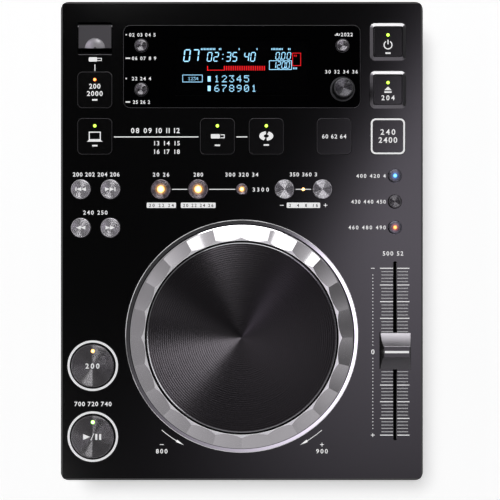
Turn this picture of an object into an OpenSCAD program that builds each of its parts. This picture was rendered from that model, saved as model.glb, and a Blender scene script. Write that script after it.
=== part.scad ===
// Tabletop DJ disc player: a slot-loading deck with a jog dial, a tempo fader and a key panel.
// Millimetres. Origin in the middle of the underside; +X to the right, +Y to the rear, +Z up.

/* [Case] */
// Space for controls beside the jog dial, from the dial's wall to the case's side
jog_side = 42.15; // [38:0.05:55]
// Space from the dial's wall to the case's front face
jog_front = 20; // [17:0.1:30]
// Space from the dial's wall to the middle of the loop and track button row
loop_gap = 21.5; // [19:0.1:30]
// Height of the deck's top face above the table
deck_z = 90.5; // [88:0.5:110]
// Corner radius of the case in plan
case_r = 5; // [3:0.5:7]
// Bevel along the top edge of the case
case_bevel = 1.2; // [0.4:0.1:2]
// Wall thickness of the top cover's skirt
skirt_t = 2.5; // [2:0.1:3.5]
// Thickness of the deck plate
deck_t = 3; // [2.6:0.1:4]
// Height of the skirt's lower edge above the table
skirt_z = 28; // [24:1:31]

/* [Base tray] */
// Height of the rubber feet
foot_h = 6; // [4:0.5:9]
// Radius of a rubber foot
foot_r = 9; // [6:0.5:12]
// Distance of each foot's centre from the tray's sides
foot_in = 20; // [14:1:30]
// Thickness of the base tray's floor
floor_t = 2; // [1.6:0.1:3]
// Thickness of the base tray's walls
tray_t = 1.6; // [1.2:0.1:2]
// Height of the tray's wall top above the table
tray_z = 36; // [33:0.5:36.5]
// Gap between the tray's walls and the cover's skirt
tray_gap = 0.3; // [0.2:0.05:0.5]
// Radius of the screw columns that join the cover to the tray
column_r = 3.1; // [2.8:0.1:3.4]
// Radius of a case screw's shank
screw_r = 1.5; // [1.2:0.1:1.7]

/* [Deck controls: shared sizes] */
// Running gap around every key and button in its hole
key_gap = 0.3; // [0.2:0.05:0.4]
// Press travel of the keys and buttons
key_travel = 0.8; // [0.4:0.1:1]
// Width of the retaining flange around a key, below the deck
flange_w = 1; // [0.6:0.1:1.4]
// Thickness of the retaining flange
flange_t = 1.2; // [0.8:0.1:2]
// Gap between the flange and the deck's underside
flange_gap = 0.2; // [0.1:0.05:0.3]
// Radius of the stem that reaches the switch below
stem_r = 1.6; // [1.2:0.1:2]
// Side of a switch body on the key board
switch_w = 4.6; // [4:0.1:5]
// Height of a switch body with its actuator
switch_h = 3.5; // [2.5:0.1:4]

/* [Square keys] */
// Width of a square key
key_w = 20.7; // [18:0.1:21.5]
// Length of a square key
key_l = 21.7; // [19:0.1:22.5]
// Corner radius of a square key
key_r = 3; // [1.5:0.1:4]
// Height of a square key above the deck
key_rise = 0.9; // [0.5:0.1:2]
// Distance of the left key column from the case's left side
left_in = 20.6; // [20:0.1:22]
// Distance of the right key column from the case's right side
right_in = 21.2; // [20.5:0.1:22]
// Distance of the stop and eject key row in front of the power key
stop_step = 28.8; // [26:0.1:32]
// Distance of the source key row in front of the stop and eject row
source_step = 27.9; // [25:0.1:32]
// Distance of the stick and disc source keys from their middle
source_pair = 14.7; // [13:0.1:18]
// Distance of the playlist key from the right key column
list_step = 32.3; // [26:0.1:36]

/* [Framed keys] */
// Width of the power and eject keys
framed_w = 16.6; // [14:0.1:17.5]
// Length of the power and eject keys
framed_l = 17.2; // [15:0.1:18]
// Corner radius of the framed keys
framed_r = 1.5; // [1:0.1:3]
// Height of the framed keys above the deck
framed_rise = 1.6; // [1:0.1:2]
// Height of the raised frame around a framed key
frame_h = 2.4; // [1.5:0.1:3.5]
// Width of the raised frame's rim
frame_rim = 2.3; // [2:0.1:2.4]
// Width of the slope around the outside of the raised frame
frame_slope_w = 1.9; // [1:0.1:1.9]
// Drop of that slope
frame_slope_h = 1.1; // [0.5:0.1:1.4]
// Distance of the power key from the rear face
power_in = 24.4; // [24:0.1:25]

/* [Round buttons] */
// Radius of the track, search and loop buttons
round_r = 5.9; // [5:0.1:6.4]
// Height of a round button above the deck
round_rise = 2.6; // [1.5:0.1:4]
// Bevel around the top of a round button
round_bevel = 0.7; // [0.3:0.1:1]
// Radius of the reloop button
reloop_r = 3.4; // [2.6:0.1:5]
// Radius of the mode buttons on the right
mode_r = 4; // [3:0.1:5]
// Distance of the mode buttons from the case's right side
mode_in = 17; // [16:0.1:18]
// Distance of the rearmost mode button in front of the source key row
mode_step = 23.7; // [20:0.1:26]
// Spacing of the mode buttons
mode_pitch = 15.5; // [14:0.1:16]
// Radius of the two buttons at the left of the display and of the back button
window_button_r = 3.7; // [3:0.1:4.5]
// Height of the buttons in the display window above the deck
window_button_rise = 1.8; // [1:0.1:3]
// Distance of the outer track and search buttons from the left side
track_in = 12.3; // [12.2:0.1:13]
// Spacing of the track buttons, and of the search buttons
track_pitch = 17.7; // [16.6:0.1:18.5]
// Distance of the loop and track button row in front of the source key row
loop_step = 31.8; // [26:0.1:36]
// Distance of the search buttons in front of the track buttons
search_step = 23.1; // [20:0.1:24]
// Places of the loop row's buttons across the case
loop_x = [-48.6, -26.2, 0, 25.6, 48.3];

/* [Cue and play] */
// Radius of the cue and play buttons
cue_r = 12.8; // [11:0.1:13.2]
// Height of the cue and play buttons above the deck
cue_rise = 3; // [2:0.1:5]
// Outer radius of the bright ring around them
cue_ring_r = 15.2; // [14.6:0.1:16]
// Width of the bright ring
cue_ring_w = 1.3; // [0.8:0.1:1.3]
// Distance of both buttons from the case's left side
cue_in = 19.4; // [19:0.1:20]
// Distance of the play button from the front face
play_in = 26.5; // [26:0.1:30]
// Distance of the cue button behind the play button
cue_step = 42.6; // [36:0.1:44]

/* [Display] */
// Distance of the display window's ends from the case's sides
window_side = 37.7; // [34:0.1:46]
// Length of the display window
window_l = 49.7; // [47:0.1:50]
// Corner radius of the display window
window_r = 4.2; // [2:0.1:6]
// Thickness of the display window
window_t = 1.5; // [1.2:0.1:1.8]
// Height of the window's face above the deck
window_rise = 0.2; // [0.1:0.05:0.5]
// Distance of the window's centre from the rear face
window_in = 39.1; // [38:0.1:40]
// Distance of the display module's ends from the window's ends
display_side = 29.25; // [26:0.05:36]
// Length of the display module
display_l = 34; // [30:1:38]
// Gap between the display module and the window above it
display_gap = 0.6; // [0.4:0.1:0.9]
// Distance of the small window buttons and the knob from the window's ends
window_button_in = 10.75; // [9:0.05:13]
// Distance of the rear window buttons behind the window's centre
window_button_y = 12.6; // [11:0.1:14]
// Distance of the front window button and the knob in front of the window's centre
knob_y = 13.7; // [12:0.1:14.5]

/* [Select knob] */
// Radius of the knob's foot
knob_r = 7.4; // [6.5:0.1:8]
// Radius of the knob's grip
knob_grip_r = 6.4; // [5.5:0.1:6.4]
// Height of the knob's top above the deck
knob_h = 13; // [10:0.5:16]
// Radius of the knob's shaft
shaft_r = 3; // [2.5:0.1:3.5]
// Press travel of the knob
knob_travel = 0.6; // [0.4:0.1:0.8]
// Side of the rotary switch below the knob
rotary_w = 12; // [11:0.5:14]

/* [Jog dial] */
// Radius of the dial's side wall
jog_r = 66.8; // [60:0.1:76]
// Distance of the dial's bright shoulder line inside its wall
shoulder_in = 0.1; // [0:0.1:1]
// Height of the bright shoulder line above the deck
shoulder_h = 8; // [6:0.1:9]
// Distance of the facets' outer edge inside the shoulder line
facet_out_in = 1; // [0.5:0.1:2]
// Height of the facets' outer edge above the deck
facet_h = 13.5; // [11:0.1:14]
// Width of the facets' slope at their corners
facet_w = 6.2; // [5:0.1:8]
// Number of finger facets around the dial
facets = 24; // [16:1:30]
// Depth of a facet's hollow across its chord
facet_dish = 0.7; // [0.3:0.1:0.9]
// Height of the dial's top above the deck
jog_h = 17; // [16:0.1:20]
// Width of the dial's flat top at the facets' corners
land_w = 2.2; // [2:0.1:4]
// Gap around the top plate
plate_gap = 0.8; // [0.4:0.1:0.9]
// Thickness of the top plate
plate_t = 2.6; // [2:0.1:3]
// Press travel of the top plate
plate_travel = 0.5; // [0.3:0.1:0.6]
// Width of the bevel around the top plate
plate_bevel = 0.8; // [0.8:0.1:2]
// Gap between the dial and the well it turns in
jog_gap = 0.6; // [0.6:0.1:1.2]
// Wall thickness of the dial's well
well_t = 2.1; // [1.6:0.1:2.4]
// Depth of the dial's well below the deck's face
well_depth = 16.5; // [15.5:0.5:18]
// Width of the bright ring around the well
jog_ring_w = 2.6; // [1:0.1:3]
// Height of the bright rings on the deck
ring_h = 1; // [0.6:0.1:1.5]
// Radius of the post that the dial turns on
post_r = 6; // [5:0.1:7]
// Running clearance of the dial on its post
post_fit = 0.05; // [0.02:0.01:0.08]

/* [Tempo fader] */
// Distance of the fader from the case's right side
fader_in = 16.8; // [16:0.1:17]
// Gap between the last mode button's flange and the fader's track
fader_gap = 11.4; // [8:0.1:14]
// Whole travel of the fader
fader_travel = 100; // [60:1:104]
// Width of the fader's slot in the deck
slot_w = 2.6; // [2.4:0.1:3.5]
// Thickness of the fader's lever
lever_t = 1.6; // [1:0.1:1.6]
// Width of the lever along its travel
lever_l = 6; // [4:0.5:7]
// Width of the fader cap
cap_w = 18.4; // [14:0.1:18.6]
// Length of the fader cap along its travel
cap_l = 22.1; // [18:0.1:24]
// Height of the fader cap's top above the deck
cap_h = 12; // [9:0.5:15]
// Length of the cap's flat middle
cap_mid = 6.7; // [5:0.1:8]
// Width that the cap loses towards its top
cap_taper = 1.3; // [0.5:0.1:2]
// Gap between the cap and the deck
cap_gap = 0.8; // [0.5:0.1:0.9]

/* [Stick port] */
// Width of the stick port's recess
port_w = 20.8; // [19:0.1:21.5]
// Length of the stick port's recess
port_l = 19.9; // [18:0.1:20.4]
// Distance of the recess's centre from the rear face
port_in = 22.4; // [22:0.1:23]
// Length of the port's door
door_l = 14.2; // [13:0.1:14.4]
// Thickness of the port's door
door_t = 1.8; // [1.6:0.1:2]
// Radius of the door's hinge pins
hinge_r = 0.7; // [0.5:0.05:0.8]
// Radius of the door's corners beside its hinge
door_r = 2; // [0.5:0.1:3]
// Radius of the finger dish in the door
dish_r = 6; // [5:0.1:7]
// Depth of the finger dish in the door
dish_t = 1; // [0.6:0.1:1.2]

/* [Disc drive] */
// Radius of a disc
disc_r = 60; // [54:1:66]
// Space beside the disc in the drive
disc_side = 11; // [9:0.5:14]
// Height of the drive's floor above the table
drive_z = 20; // [17:0.5:22]
// Height of the disc slot's lower edge above the table
slot_z = 42.5; // [42:0.1:43]
// Height of the disc slot
slot_h = 6; // [5.6:0.1:6.4]
// Gap at each side of the disc in its slot
slot_side = 3; // [2:0.1:4]
// Space between the feed roller's axis and a loaded disc
disc_behind = 5; // [4:0.5:8]
// Radius of the turntable
turntable_r = 15; // [12:0.5:16]
// Radius of the spindle motor
motor_r = 11; // [9:0.5:12]
// Radius of the feed roller
roller_r = 3.4; // [2.8:0.1:3.4]
// Distance of the feed roller from the front face
roller_in = 11; // [10:0.5:12]
// Radius of the sled's rods
rod_r = 1.5; // [1:0.1:1.8]
// Spacing of the sled's rods
rod_pitch = 36; // [34:1:42]
// Travel of the pickup sled
sled_travel = 35; // [25:1:36]
// Wall thickness of the drive's sheet parts
sheet_t = 1.5; // [1:0.1:1.8]

/* [Boards] */
// Thickness of the circuit boards
board_t = 1.6; // [1:0.1:2]
// Height of the key board's top below the deck's face
key_board_drop = 12.9; // [12.5:0.1:13.5]
// Height of the lower boards above the tray's floor
board_rise = 8; // [6:0.5:9]
// Gap between the drive and the lower boards
board_gap = 10.7; // [6:0.1:14]
// Width of the power board
power_board_w = 70; // [66:1:76]

/* [Rear sockets] */
// Reach of the output jacks behind the case's rear face
jack_reach = 8; // [6:0.5:10]
// Radius of an output jack's barrel
jack_r = 4.15; // [4:0.05:4.3]
// Spacing of the output jacks
jack_pitch = 15; // [13:0.5:18]
// Height of the sockets' centres above the lower boards
socket_h = 8.4; // [8:0.1:9]
// Radius of the control socket's bore
control_r = 1.8; // [1.5:0.05:2]
// Distance of the rear panel's ends from the tray's sides
rear_side = 14.15; // [10:0.05:20]
// Thickness of the rear panel
rear_t = 2; // [1.2:0.1:2.4]

/* [Hidden] */
$fn = 96;
over = 1;            // how far a cut runs past a face
loose = 0.05;        // clearance of a fixed pin or screw in its hole
slide_fit = 0.3;     // clearance between sliding or turning pieces that aren't a fit
run_fit = 0.06;      // clearance of a shaft in its bearing
seat = 0.15;         // clearance of an inset panel in its recess

// Rows behind the jog dial, as distances from the rear face
stop_in = power_in + stop_step;
source_in = stop_in + source_step;
loop_in = source_in + loop_step;

// The case is as wide and as deep as the controls around the jog dial need
case_w = 2 * (jog_r + jog_side);
case_d = jog_front + 2 * jog_r + loop_gap + loop_in;

// Places in the case: x from its middle, y from its middle, z from the table
case_y = -jack_reach / 2;
rear = case_d / 2;
front = -case_d / 2;
left_x = -case_w / 2 + left_in;
right_x = case_w / 2 - right_in;
floor_z = foot_h + floor_t;
under = -deck_t;
tray_w = case_w - 2 * (skirt_t + tray_gap);
tray_d = case_d - 2 * (skirt_t + tray_gap);

// Heights measured from the deck's face
board_top = -key_board_drop;
stem_gap = 0.2;
stem_low = board_top + switch_h + key_travel + stem_gap;
flange_top = under - flange_gap;
flange_low = flange_top - flange_t;
window_top = window_rise;
window_low = window_rise - window_t;

// Rows and columns of the controls
power_y = rear - power_in;
stop_y = rear - stop_in;
source_y = rear - source_in;
loop_y = rear - loop_in;
search_y = loop_y - search_step;
track_x = -case_w / 2 + track_in;
mode_x = case_w / 2 - mode_in;
mode_y = [for (i = [0:2]) source_y - mode_step - i * mode_pitch];
window_y = rear - window_in;
window_w = case_w - 2 * window_side;
window_button_x = window_w / 2 - window_button_in;
display_w = window_w - 2 * display_side;
port_y = rear - port_in;
port_x = left_x;
cue_x = -case_w / 2 + cue_in;
play_y = front + play_in;
cue_y = play_y + cue_step;
jog_y = front + jog_front + jog_r;
fader_x = case_w / 2 - fader_in;
slot_travel_l = fader_travel + lever_l + 2 * key_gap + 1;
track_l = slot_travel_l + 8;
fader_y = mode_y[2] - mode_r - flange_w - fader_gap - track_l / 2;

// Roundness that the outside of a raised frame has beyond its key's hole
frame_corner = 1.3;

// Every round control: place, radius and height above the deck
window_rear_y = window_y + window_button_y;
knob_low = window_top + knob_travel + stem_gap;
knob_wall = 4;
knob_foot_h = 1;
knob_slope = 0.8;
rotary_h = 5;
rotary_floor = 0.9;
rotary_bush_r = shaft_r + 1.3;
rotary_bush_h = 8.5;
actuator_r = 1.2;
actuator_h = 0.8;
plunger_low = board_top + rotary_floor + knob_travel + stem_gap;
window_front_y = window_y - knob_y;
time_mode_at = [-window_button_x, window_rear_y];
display_at = [-window_button_x, window_front_y];
back_at = [window_button_x, window_rear_y];
knob_at = [window_button_x, window_front_y];
track_at = [for (i = [0, 1]) [track_x + i * track_pitch, loop_y]];
search_at = [for (i = [0, 1]) [track_x + i * track_pitch, search_y]];
loop_at = [for (x = loop_x) [x, loop_y]];
mode_at = [for (y = mode_y) [mode_x, y]];
cue_at = [cue_x, cue_y];
play_at = [cue_x, play_y];
window_controls = [time_mode_at, display_at, back_at];
plain_rounds = [track_at[0], track_at[1], search_at[0], search_at[1],
                loop_at[0], loop_at[1], loop_at[3], loop_at[4]];
square_keys = [[left_x, stop_y], [left_x, source_y], [-source_pair, source_y],
               [source_pair, source_y], [right_x - list_step, source_y], [right_x, source_y]];
framed_keys = [[right_x, power_y], [right_x, stop_y]];
switch_places = concat(window_controls, plain_rounds, [loop_at[2]], mode_at, [cue_at, play_at],
                       square_keys, framed_keys);

// Screw columns between the cover and the tray
column_x = tray_w / 2 - tray_t - column_r - 0.1;
column_y = [rear - 8, search_y - round_r - flange_w - column_r - slide_fit, front + 8];
columns = [for (x = [-column_x, column_x], y = column_y) [x, y]];
board_posts = [[-window_w / 2, rear - 10], [window_w / 2, rear - 10], [0, source_y + 18],
               [-36, source_y - 14], [36, source_y - 14], [-window_w / 2, loop_y + 8]];
board_post_r = 2.4;

// Jog dial: radii of its section, heights from the deck's face
shoulder_r = jog_r - shoulder_in;
facet_out_r = shoulder_r - facet_out_in;
facet_in_r = facet_out_r - facet_w;
recess_r = facet_in_r - land_w;
well_r = jog_r + jog_gap;
well_floor = -well_depth;
well_floor_t = 2;
ring_bevel = 0.4;
pedestal_r = 16;
pedestal_t = 3;
dial_low = -6;
wall_h = 0.5;
plate_edge_h = 0.6;
post_screw_l = 8;
post_screw_head_h = 1.4;
hub_low = well_floor + pedestal_t + slide_fit;
hub_r = 12;
washer_r = 8.5;
washer_t = 1.2;
washer_pocket_r = washer_r + 1;
web_t = 3;
plate_low = jog_h - plate_t;
web_top = plate_low - plate_travel - slide_fit;
web_low = web_top - web_t;
post_top = web_top - washer_t - 3.4;
dial_wall = 4;
facet_slope = atan((jog_h - facet_h) / (facet_out_r - facet_in_r));
facet_half = 180 / facets;
facet_chord = (facet_in_r + facet_out_r) / 2 * sin(facet_half);
facet_r = (pow(facet_chord, 2) + pow(facet_dish, 2)) / (2 * facet_dish);

// Fader parts, from the deck's face
track_w = 11;
track_h = 18;
track_wall = 1.2;
carriage_h = 6;
carriage_low = under - track_h + track_wall + slide_fit;
socket_depth = 5;
cap_skirt = 2;
cap_edge = 0.4;
cap_hollow = 1.1;

// Stick port and its door, from the deck's face
port_wall = 1.4;
port_floor_t = 1.2;
port_floor = board_top + slide_fit + port_floor_t;
port_depth = -port_floor;
door_w = port_w - 2 * key_gap - 0.6;
door_top = -0.1;
hinge_y = port_y + port_l / 2 - 2.2;
hinge_z = door_top - door_t / 2;
door_front = hinge_y + door_t / 2 - door_l;
port_r = 1.6;
plug_shell = [13.2, 5.8];
plug_shell_t = 0.6;
tongue_w = 11.6;
tongue_t = 1.8;
flare_w = 1.2;
flare_t = 0.2;
plug_top = board_top + 6;
plug_low = board_top - 7;
plug_y = port_y + 0.5;

// Disc drive: heights from the table, y from the case's middle
drive_front = -tray_d / 2 + tray_t + slide_fit;
drive_w = 2 * (disc_r + disc_side);
drive_top = slot_z + slot_h + 1.5;
slot_l = 2 * (disc_r + slot_side);
roller_l = 2 * disc_r;
spindle_y = front + roller_in + disc_behind + disc_r;
roller_y = front + roller_in;
roller_z = slot_z + 0.9 - roller_r;
path_low = slot_z + 1.1;
turntable_t = 2;
turntable_hub_r = 4;
centring_r = 7.4;
centring_h = 0.9;
turntable_z = path_low - 1.4 - turntable_t;
motor_top = turntable_z - 2.7;
motor_floor = 2;
shaft_foot = 0.5;
spindle_shaft_r = 1.2;
rod_front = spindle_y + 8;
rod_block = 4;
sled_h = 11;
sled_z = path_low - sled_h - 6.6;
rod_z = sled_z + 5;
sled_half_w = rod_pitch / 2 + 6;
lens_y = spindle_y + 23;
sled_front = 6;
sled_back = 13;
lens_r = 3;
lens_h = 1.6;
rod_block_w = 8;
rod_rear = lens_y + sled_back + sled_travel + 5 + rod_block;
drive_rear = rod_rear + sheet_t + 2.2;
clamp_neck_r = 12.2;
clamp_flange_r = 14.5;
clamp_flange_t = 1.2;
gear_motor_l = column_x - column_r - drive_w / 2 - 4.25;
gear_shaft_l = 10;
gear_motor_r = 6;

// Lower boards and rear sockets, from the table
lower_board_z = floor_z + board_rise;
lower_board_top = lower_board_z + board_t;
board_rear = tray_d / 2 - tray_t - 0.4;
board_front = drive_rear + board_gap;
board_side = 12;
power_board_x = [tray_w / 2 - board_side - power_board_w, tray_w / 2 - board_side];
main_board_x = [-tray_w / 2 + board_side, power_board_x[0] - 6];
panel_in = tray_d / 2;
panel_out = panel_in + rear_t;
socket_z = lower_board_top + socket_h;
rear_panel_z = [floor_z + 2, tray_z + 5];
jack_x = [-tray_w / 2 + 44, -tray_w / 2 + 44 + jack_pitch];
control_x = jack_x[1] + 17;
link_x = control_x + 20;
mains_x = tray_w / 2 - 34;
rear_w = tray_w - 2 * rear_side;
jack_wall = 2.55;
jack_hole_r = jack_r + 0.6;
jack_collar_r = jack_hole_r - seat;
jack_collar = 0.6;
jack_root = 1.5;
jack_body = [11, 12.5];
control_wall = 1.6;
control_body = [9, 14];
control_depth = 12;
link_size = [12, 11];
link_depth = 14;
link_wall = 1.5;
link_tongue = [5.6, 3.2];
mains_size = [24, 14];
mains_depth = 18;
mains_mouth = [17, 9, 12];
mains_mouth_r = 4.4;
mains_rim = 1;
pin_r = 1.2;
pin_pitch = 8.6;
pin_l = 7.5;
socket_seat = 0.3;
front_panel_w = slot_l + 18;
front_panel_z = [slot_z - 2.5, slot_z + slot_h + 5.5];
front_lip = 3;
front_drop = 1.5;
front_lip_t = 1.4;

// Components of the lower boards: place on the board, then width, length and height
main_parts = [[14, 20, 26, 26, 2.5], [48, 24, 18, 18, 2], [70, 16, 14, 22, 2],
              [18, 58, 14, 20, 2.5], [42, 56, 40, 8, 7]];
power_parts = [[8, 12, 34, 30, 24], [48, 14, 16, 24, 14], [10, 56, 22, 16, 12]];
capacitors = [[46, 60], [60, 60]];
capacitor_r = 5;
capacitor_h = 22;

// Screws, bosses, feet and vents of the base tray
screw_head_r = 2.7;
screw_head_h = 1.2;
screw_l = 16;
screw_tip = 1;
boss_r = 3;
peg_r = 2;
peg_h = 1.5;
foot_edge = 1.2;
vent_pitch = 7;
vent_w = 2.4;
vent_l = 30;
drive_feet = [for (x = [-1, 1], y = [drive_front + 12, drive_rear - 12])
  [x * (drive_w / 2 - 8), y]];

// Colours
case_black = "#17171a";
panel_black = "#0e0e10";
key_black = "#1d1d20";
spun_metal = "#3a3b40";
bright_metal = "#c9ccd0";
board_green = "#1f5a33";
rubber_black = "#202020";

// ---------------------------------------------------------------- helpers

// Moves a piece from the case's own middle into the part's frame
module in_case() translate([0, case_y, 0]) children();

// Places a piece on the deck: z = 0 is the deck's top face
module on_deck(at) in_case() translate([at[0], at[1], deck_z]) children();

// A rectangle with round corners
module rounded_rect(w, l, r) {
  square([w - 2 * r, l], center = true);
  square([w, l - 2 * r], center = true);
  for (x = [-1, 1], y = [-1, 1])
    translate([x * (w / 2 - r), y * (l / 2 - r)]) circle(r);
}

// A plate with round corners, standing on z = 0
module slab(w, l, h, r) linear_extrude(h) rounded_rect(w, l, r);

// A box from one corner to the opposite one
module block(low, high) translate(low) cube(high - low);

// A lathed piece from its half section
module lathe(points) rotate_extrude() polygon(points);

// A ring between two radii
module ring(inner, outer, h) lathe([[inner, 0], [outer, 0], [outer, h], [inner, h]]);

// The case's outer block with a bevelled top edge
module case_block(w, d, low, high, r, bevel) {
  intersection() {
    translate([0, 0, low]) slab(w, d, high - low, r);
    rotate([90, 0, 0]) linear_extrude(d + 2 * over, center = true)
      bevelled_profile(w, low, high, bevel);
    rotate([90, 0, 90]) linear_extrude(w + 2 * over, center = true)
      bevelled_profile(d, low, high, bevel);
  }
}

// Upright section with its two upper corners cut at 45 degrees
module bevelled_profile(w, low, high, bevel) polygon([
  [-w / 2, low], [w / 2, low], [w / 2, high - bevel], [w / 2 - bevel, high],
  [-w / 2 + bevel, high], [-w / 2, high - bevel]]);

// ---------------------------------------------------------------- keys and buttons

// Round button: cap, flange below the deck and stem above its switch
module round_button(r, rise, bevel) lathe([
  [0, stem_low], [stem_r, stem_low], [stem_r, flange_low], [r + flange_w, flange_low],
  [r + flange_w, flange_top], [r, flange_top], [r, rise - bevel], [r - bevel, rise], [0, rise]]);

// Square key with the same flange and stem
module flat_key(w, l, r, rise) {
  translate([0, 0, flange_top]) slab(w, l, rise - flange_top, r);
  translate([0, 0, flange_low])
    slab(w + 2 * flange_w, l + 2 * flange_w, flange_t, r + flange_w);
  translate([0, 0, stem_low]) cylinder(r = stem_r, h = flange_low - stem_low);
}

module square_key(at) color(key_black) on_deck(at) flat_key(key_w, key_l, key_r, key_rise);

module framed_key(at) color(key_black) on_deck(at)
  flat_key(framed_w, framed_l, framed_r, framed_rise);

module plain_round(at) color(spun_metal) on_deck(at)
  round_button(round_r, round_rise, round_bevel);

module mode_button(at) color(spun_metal) on_deck(at)
  round_button(mode_r, round_rise, round_bevel);

module window_button(at) color(spun_metal) on_deck(at)
  round_button(window_button_r, window_button_rise, round_bevel);

module transport_button(at) color(spun_metal) on_deck(at)
  round_button(cue_r, cue_rise, round_bevel);

module time_mode_button() window_button(time_mode_at);
module display_button() window_button(display_at);
module back_button() window_button(back_at);
module usb_stop_button() square_key(square_keys[0]);
module pc_source_button() square_key(square_keys[1]);
module usb_source_button() square_key(square_keys[2]);
module disc_source_button() square_key(square_keys[3]);
module playlist_button() square_key(square_keys[4]);
module bpm_lock_button() square_key(square_keys[5]);
module power_button() framed_key(framed_keys[0]);
module eject_button() framed_key(framed_keys[1]);
module track_back_button() plain_round(track_at[0]);
module track_forward_button() plain_round(track_at[1]);
module search_back_button() plain_round(search_at[0]);
module search_forward_button() plain_round(search_at[1]);
module loop_in_button() plain_round(loop_at[0]);
module loop_out_button() plain_round(loop_at[1]);
module beat_minus_button() plain_round(loop_at[3]);
module beat_plus_button() plain_round(loop_at[4]);
module reloop_button() color(spun_metal) on_deck(loop_at[2])
  round_button(reloop_r, round_rise, round_bevel);
module vinyl_mode_button() mode_button(mode_at[0]);
module tempo_range_button() mode_button(mode_at[1]);
module master_tempo_button() mode_button(mode_at[2]);
module cue_button() transport_button(cue_at);
module play_button() transport_button(play_at);

// ---------------------------------------------------------------- top cover

// A hole through the deck for each key and button
module control_holes() {
  depth = deck_t + 2 * over;
  translate([0, 0, -deck_t - over]) {
    for (at = plain_rounds) translate(at) cylinder(r = round_r + key_gap, h = depth);
    translate(loop_at[2]) cylinder(r = reloop_r + key_gap, h = depth);
    for (at = mode_at) translate(at) cylinder(r = mode_r + key_gap, h = depth);
    for (at = window_controls)
      translate(at) cylinder(r = window_button_r + key_gap, h = depth);
    translate(knob_at) cylinder(r = shaft_r + key_gap, h = depth);
    for (at = [cue_at, play_at]) translate(at) cylinder(r = cue_r + key_gap, h = depth);
    for (at = square_keys) translate(at)
      slab(key_w + 2 * key_gap, key_l + 2 * key_gap, depth, key_r + key_gap);
    for (at = framed_keys) translate(at)
      slab(framed_w + 2 * key_gap, framed_l + 2 * key_gap, depth, framed_r + key_gap);
  }
}

// A plate with round corners whose sides lean in by the same width all round
module tapered_slab(w, l, h, r, lean) {
  rotate([90, 0, 0]) linear_extrude(l - 2 * r, center = true) tapered_profile(w, h, lean);
  rotate([90, 0, 90]) linear_extrude(w - 2 * r, center = true) tapered_profile(l, h, lean);
  for (x = [-1, 1], y = [-1, 1])
    translate([x * (w / 2 - r), y * (l / 2 - r), 0]) cylinder(r1 = r, r2 = r - lean, h = h);
}

module tapered_profile(w, h, lean)
  polygon([[-w / 2, 0], [w / 2, 0], [w / 2 - lean, h], [-w / 2 + lean, h]]);

// Raised frames around the power and eject keys
module key_frames() {
  inner_w = framed_w + 2 * key_gap;
  inner_l = framed_l + 2 * key_gap;
  outer_w = inner_w + 2 * frame_rim;
  outer_l = inner_l + 2 * frame_rim;
  outer_r = framed_r + key_gap + frame_corner;
  step_h = frame_h - frame_slope_h;
  for (at = framed_keys) translate(at) difference() {
    union() {
      translate([0, 0, -over]) slab(outer_w, outer_l, step_h + over, outer_r);
      translate([0, 0, step_h])
        tapered_slab(outer_w, outer_l, frame_slope_h, outer_r, frame_slope_w);
    }
    translate([0, 0, -2 * over]) slab(inner_w, inner_l, frame_h + 3 * over, framed_r + key_gap);
  }
}

// Box around the stick port, hung below the deck
module port_well() translate([port_x, port_y, port_floor - port_floor_t])
  slab(port_w + 2 * port_wall, port_l + 2 * port_wall, port_depth + port_floor_t - over, 2);

module port_cuts() {
  translate([port_x, port_y, port_floor]) slab(port_w, port_l, port_depth + over, port_r);
  translate([port_x, plug_y, port_floor - port_floor_t - over])
    slab(plug_shell[0] + 2 * slide_fit, plug_shell[1] + 2 * slide_fit, port_floor_t + 2 * over,
         plug_shell_t + slide_fit);
  translate([port_x, hinge_y, hinge_z]) rotate([0, 90, 0])
    cylinder(r = hinge_r + run_fit, h = port_w + 2 * port_wall - 1, center = true);
}

module window_cuts() {
  translate([0, window_y, window_low])
    slab(window_w + 2 * seat, window_l + 2 * seat, window_t + over, window_r + seat);
  translate([0, window_y, under - over])
    slab(display_w + 1, display_l + 1, deck_t + over, 1);
}

module cover_columns() {
  for (at = columns) translate([at[0], at[1], floor_z - deck_z])
    cylinder(r = column_r, h = deck_z - floor_z - over);
  for (at = board_posts) translate([at[0], at[1], board_top])
    cylinder(r = board_post_r, h = -board_top - over);
}

module column_bores() for (at = columns) translate([at[0], at[1], floor_z - deck_z - over])
  cylinder(r = screw_r + loose, h = foot_h - floor_z + screw_l + 6 + over);

// Openings in the skirt for the front panel and the rear panel
module skirt_cuts() {
  block([-front_panel_w / 2 - seat, front - over, front_panel_z[0] - seat],
        [front_panel_w / 2 + seat, front + skirt_t + over, front_panel_z[1] + seat]);
  block([-rear_w / 2 - seat, rear - skirt_t - over, skirt_z - over],
        [rear_w / 2 + seat, rear + over, rear_panel_z[1] + seat]);
}

module top_cover() color(case_black) in_case() difference() {
  union() {
    difference() {
      case_block(case_w, case_d, skirt_z, deck_z, case_r, case_bevel);
      translate([0, 0, skirt_z - over])
        slab(case_w - 2 * skirt_t, case_d - 2 * skirt_t, deck_z - deck_t - skirt_z + over,
             case_r - skirt_t);
    }
    translate([0, 0, deck_z]) {
      translate([0, jog_y, well_floor - well_floor_t])
        cylinder(r = well_r + well_t, h = well_depth + well_floor_t - over);
      port_well();
      cover_columns();
      key_frames();
    }
  }
  translate([0, jog_y, deck_z + well_floor]) cylinder(r = well_r, h = well_depth + over);
  translate([0, 0, deck_z]) {
    control_holes();
    window_cuts();
    port_cuts();
    column_bores();
    translate([fader_x, fader_y, under - over])
      slab(slot_w, slot_travel_l, deck_t + 2 * over, slot_w / 2 - 0.01);
  }
  skirt_cuts();
}

// ---------------------------------------------------------------- base, panels and feet

function foot_places() = [for (x = [-1, 1], y = [-1, 1])
  [x * (tray_w / 2 - foot_in), y * (tray_d / 2 - foot_in)]];

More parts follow.
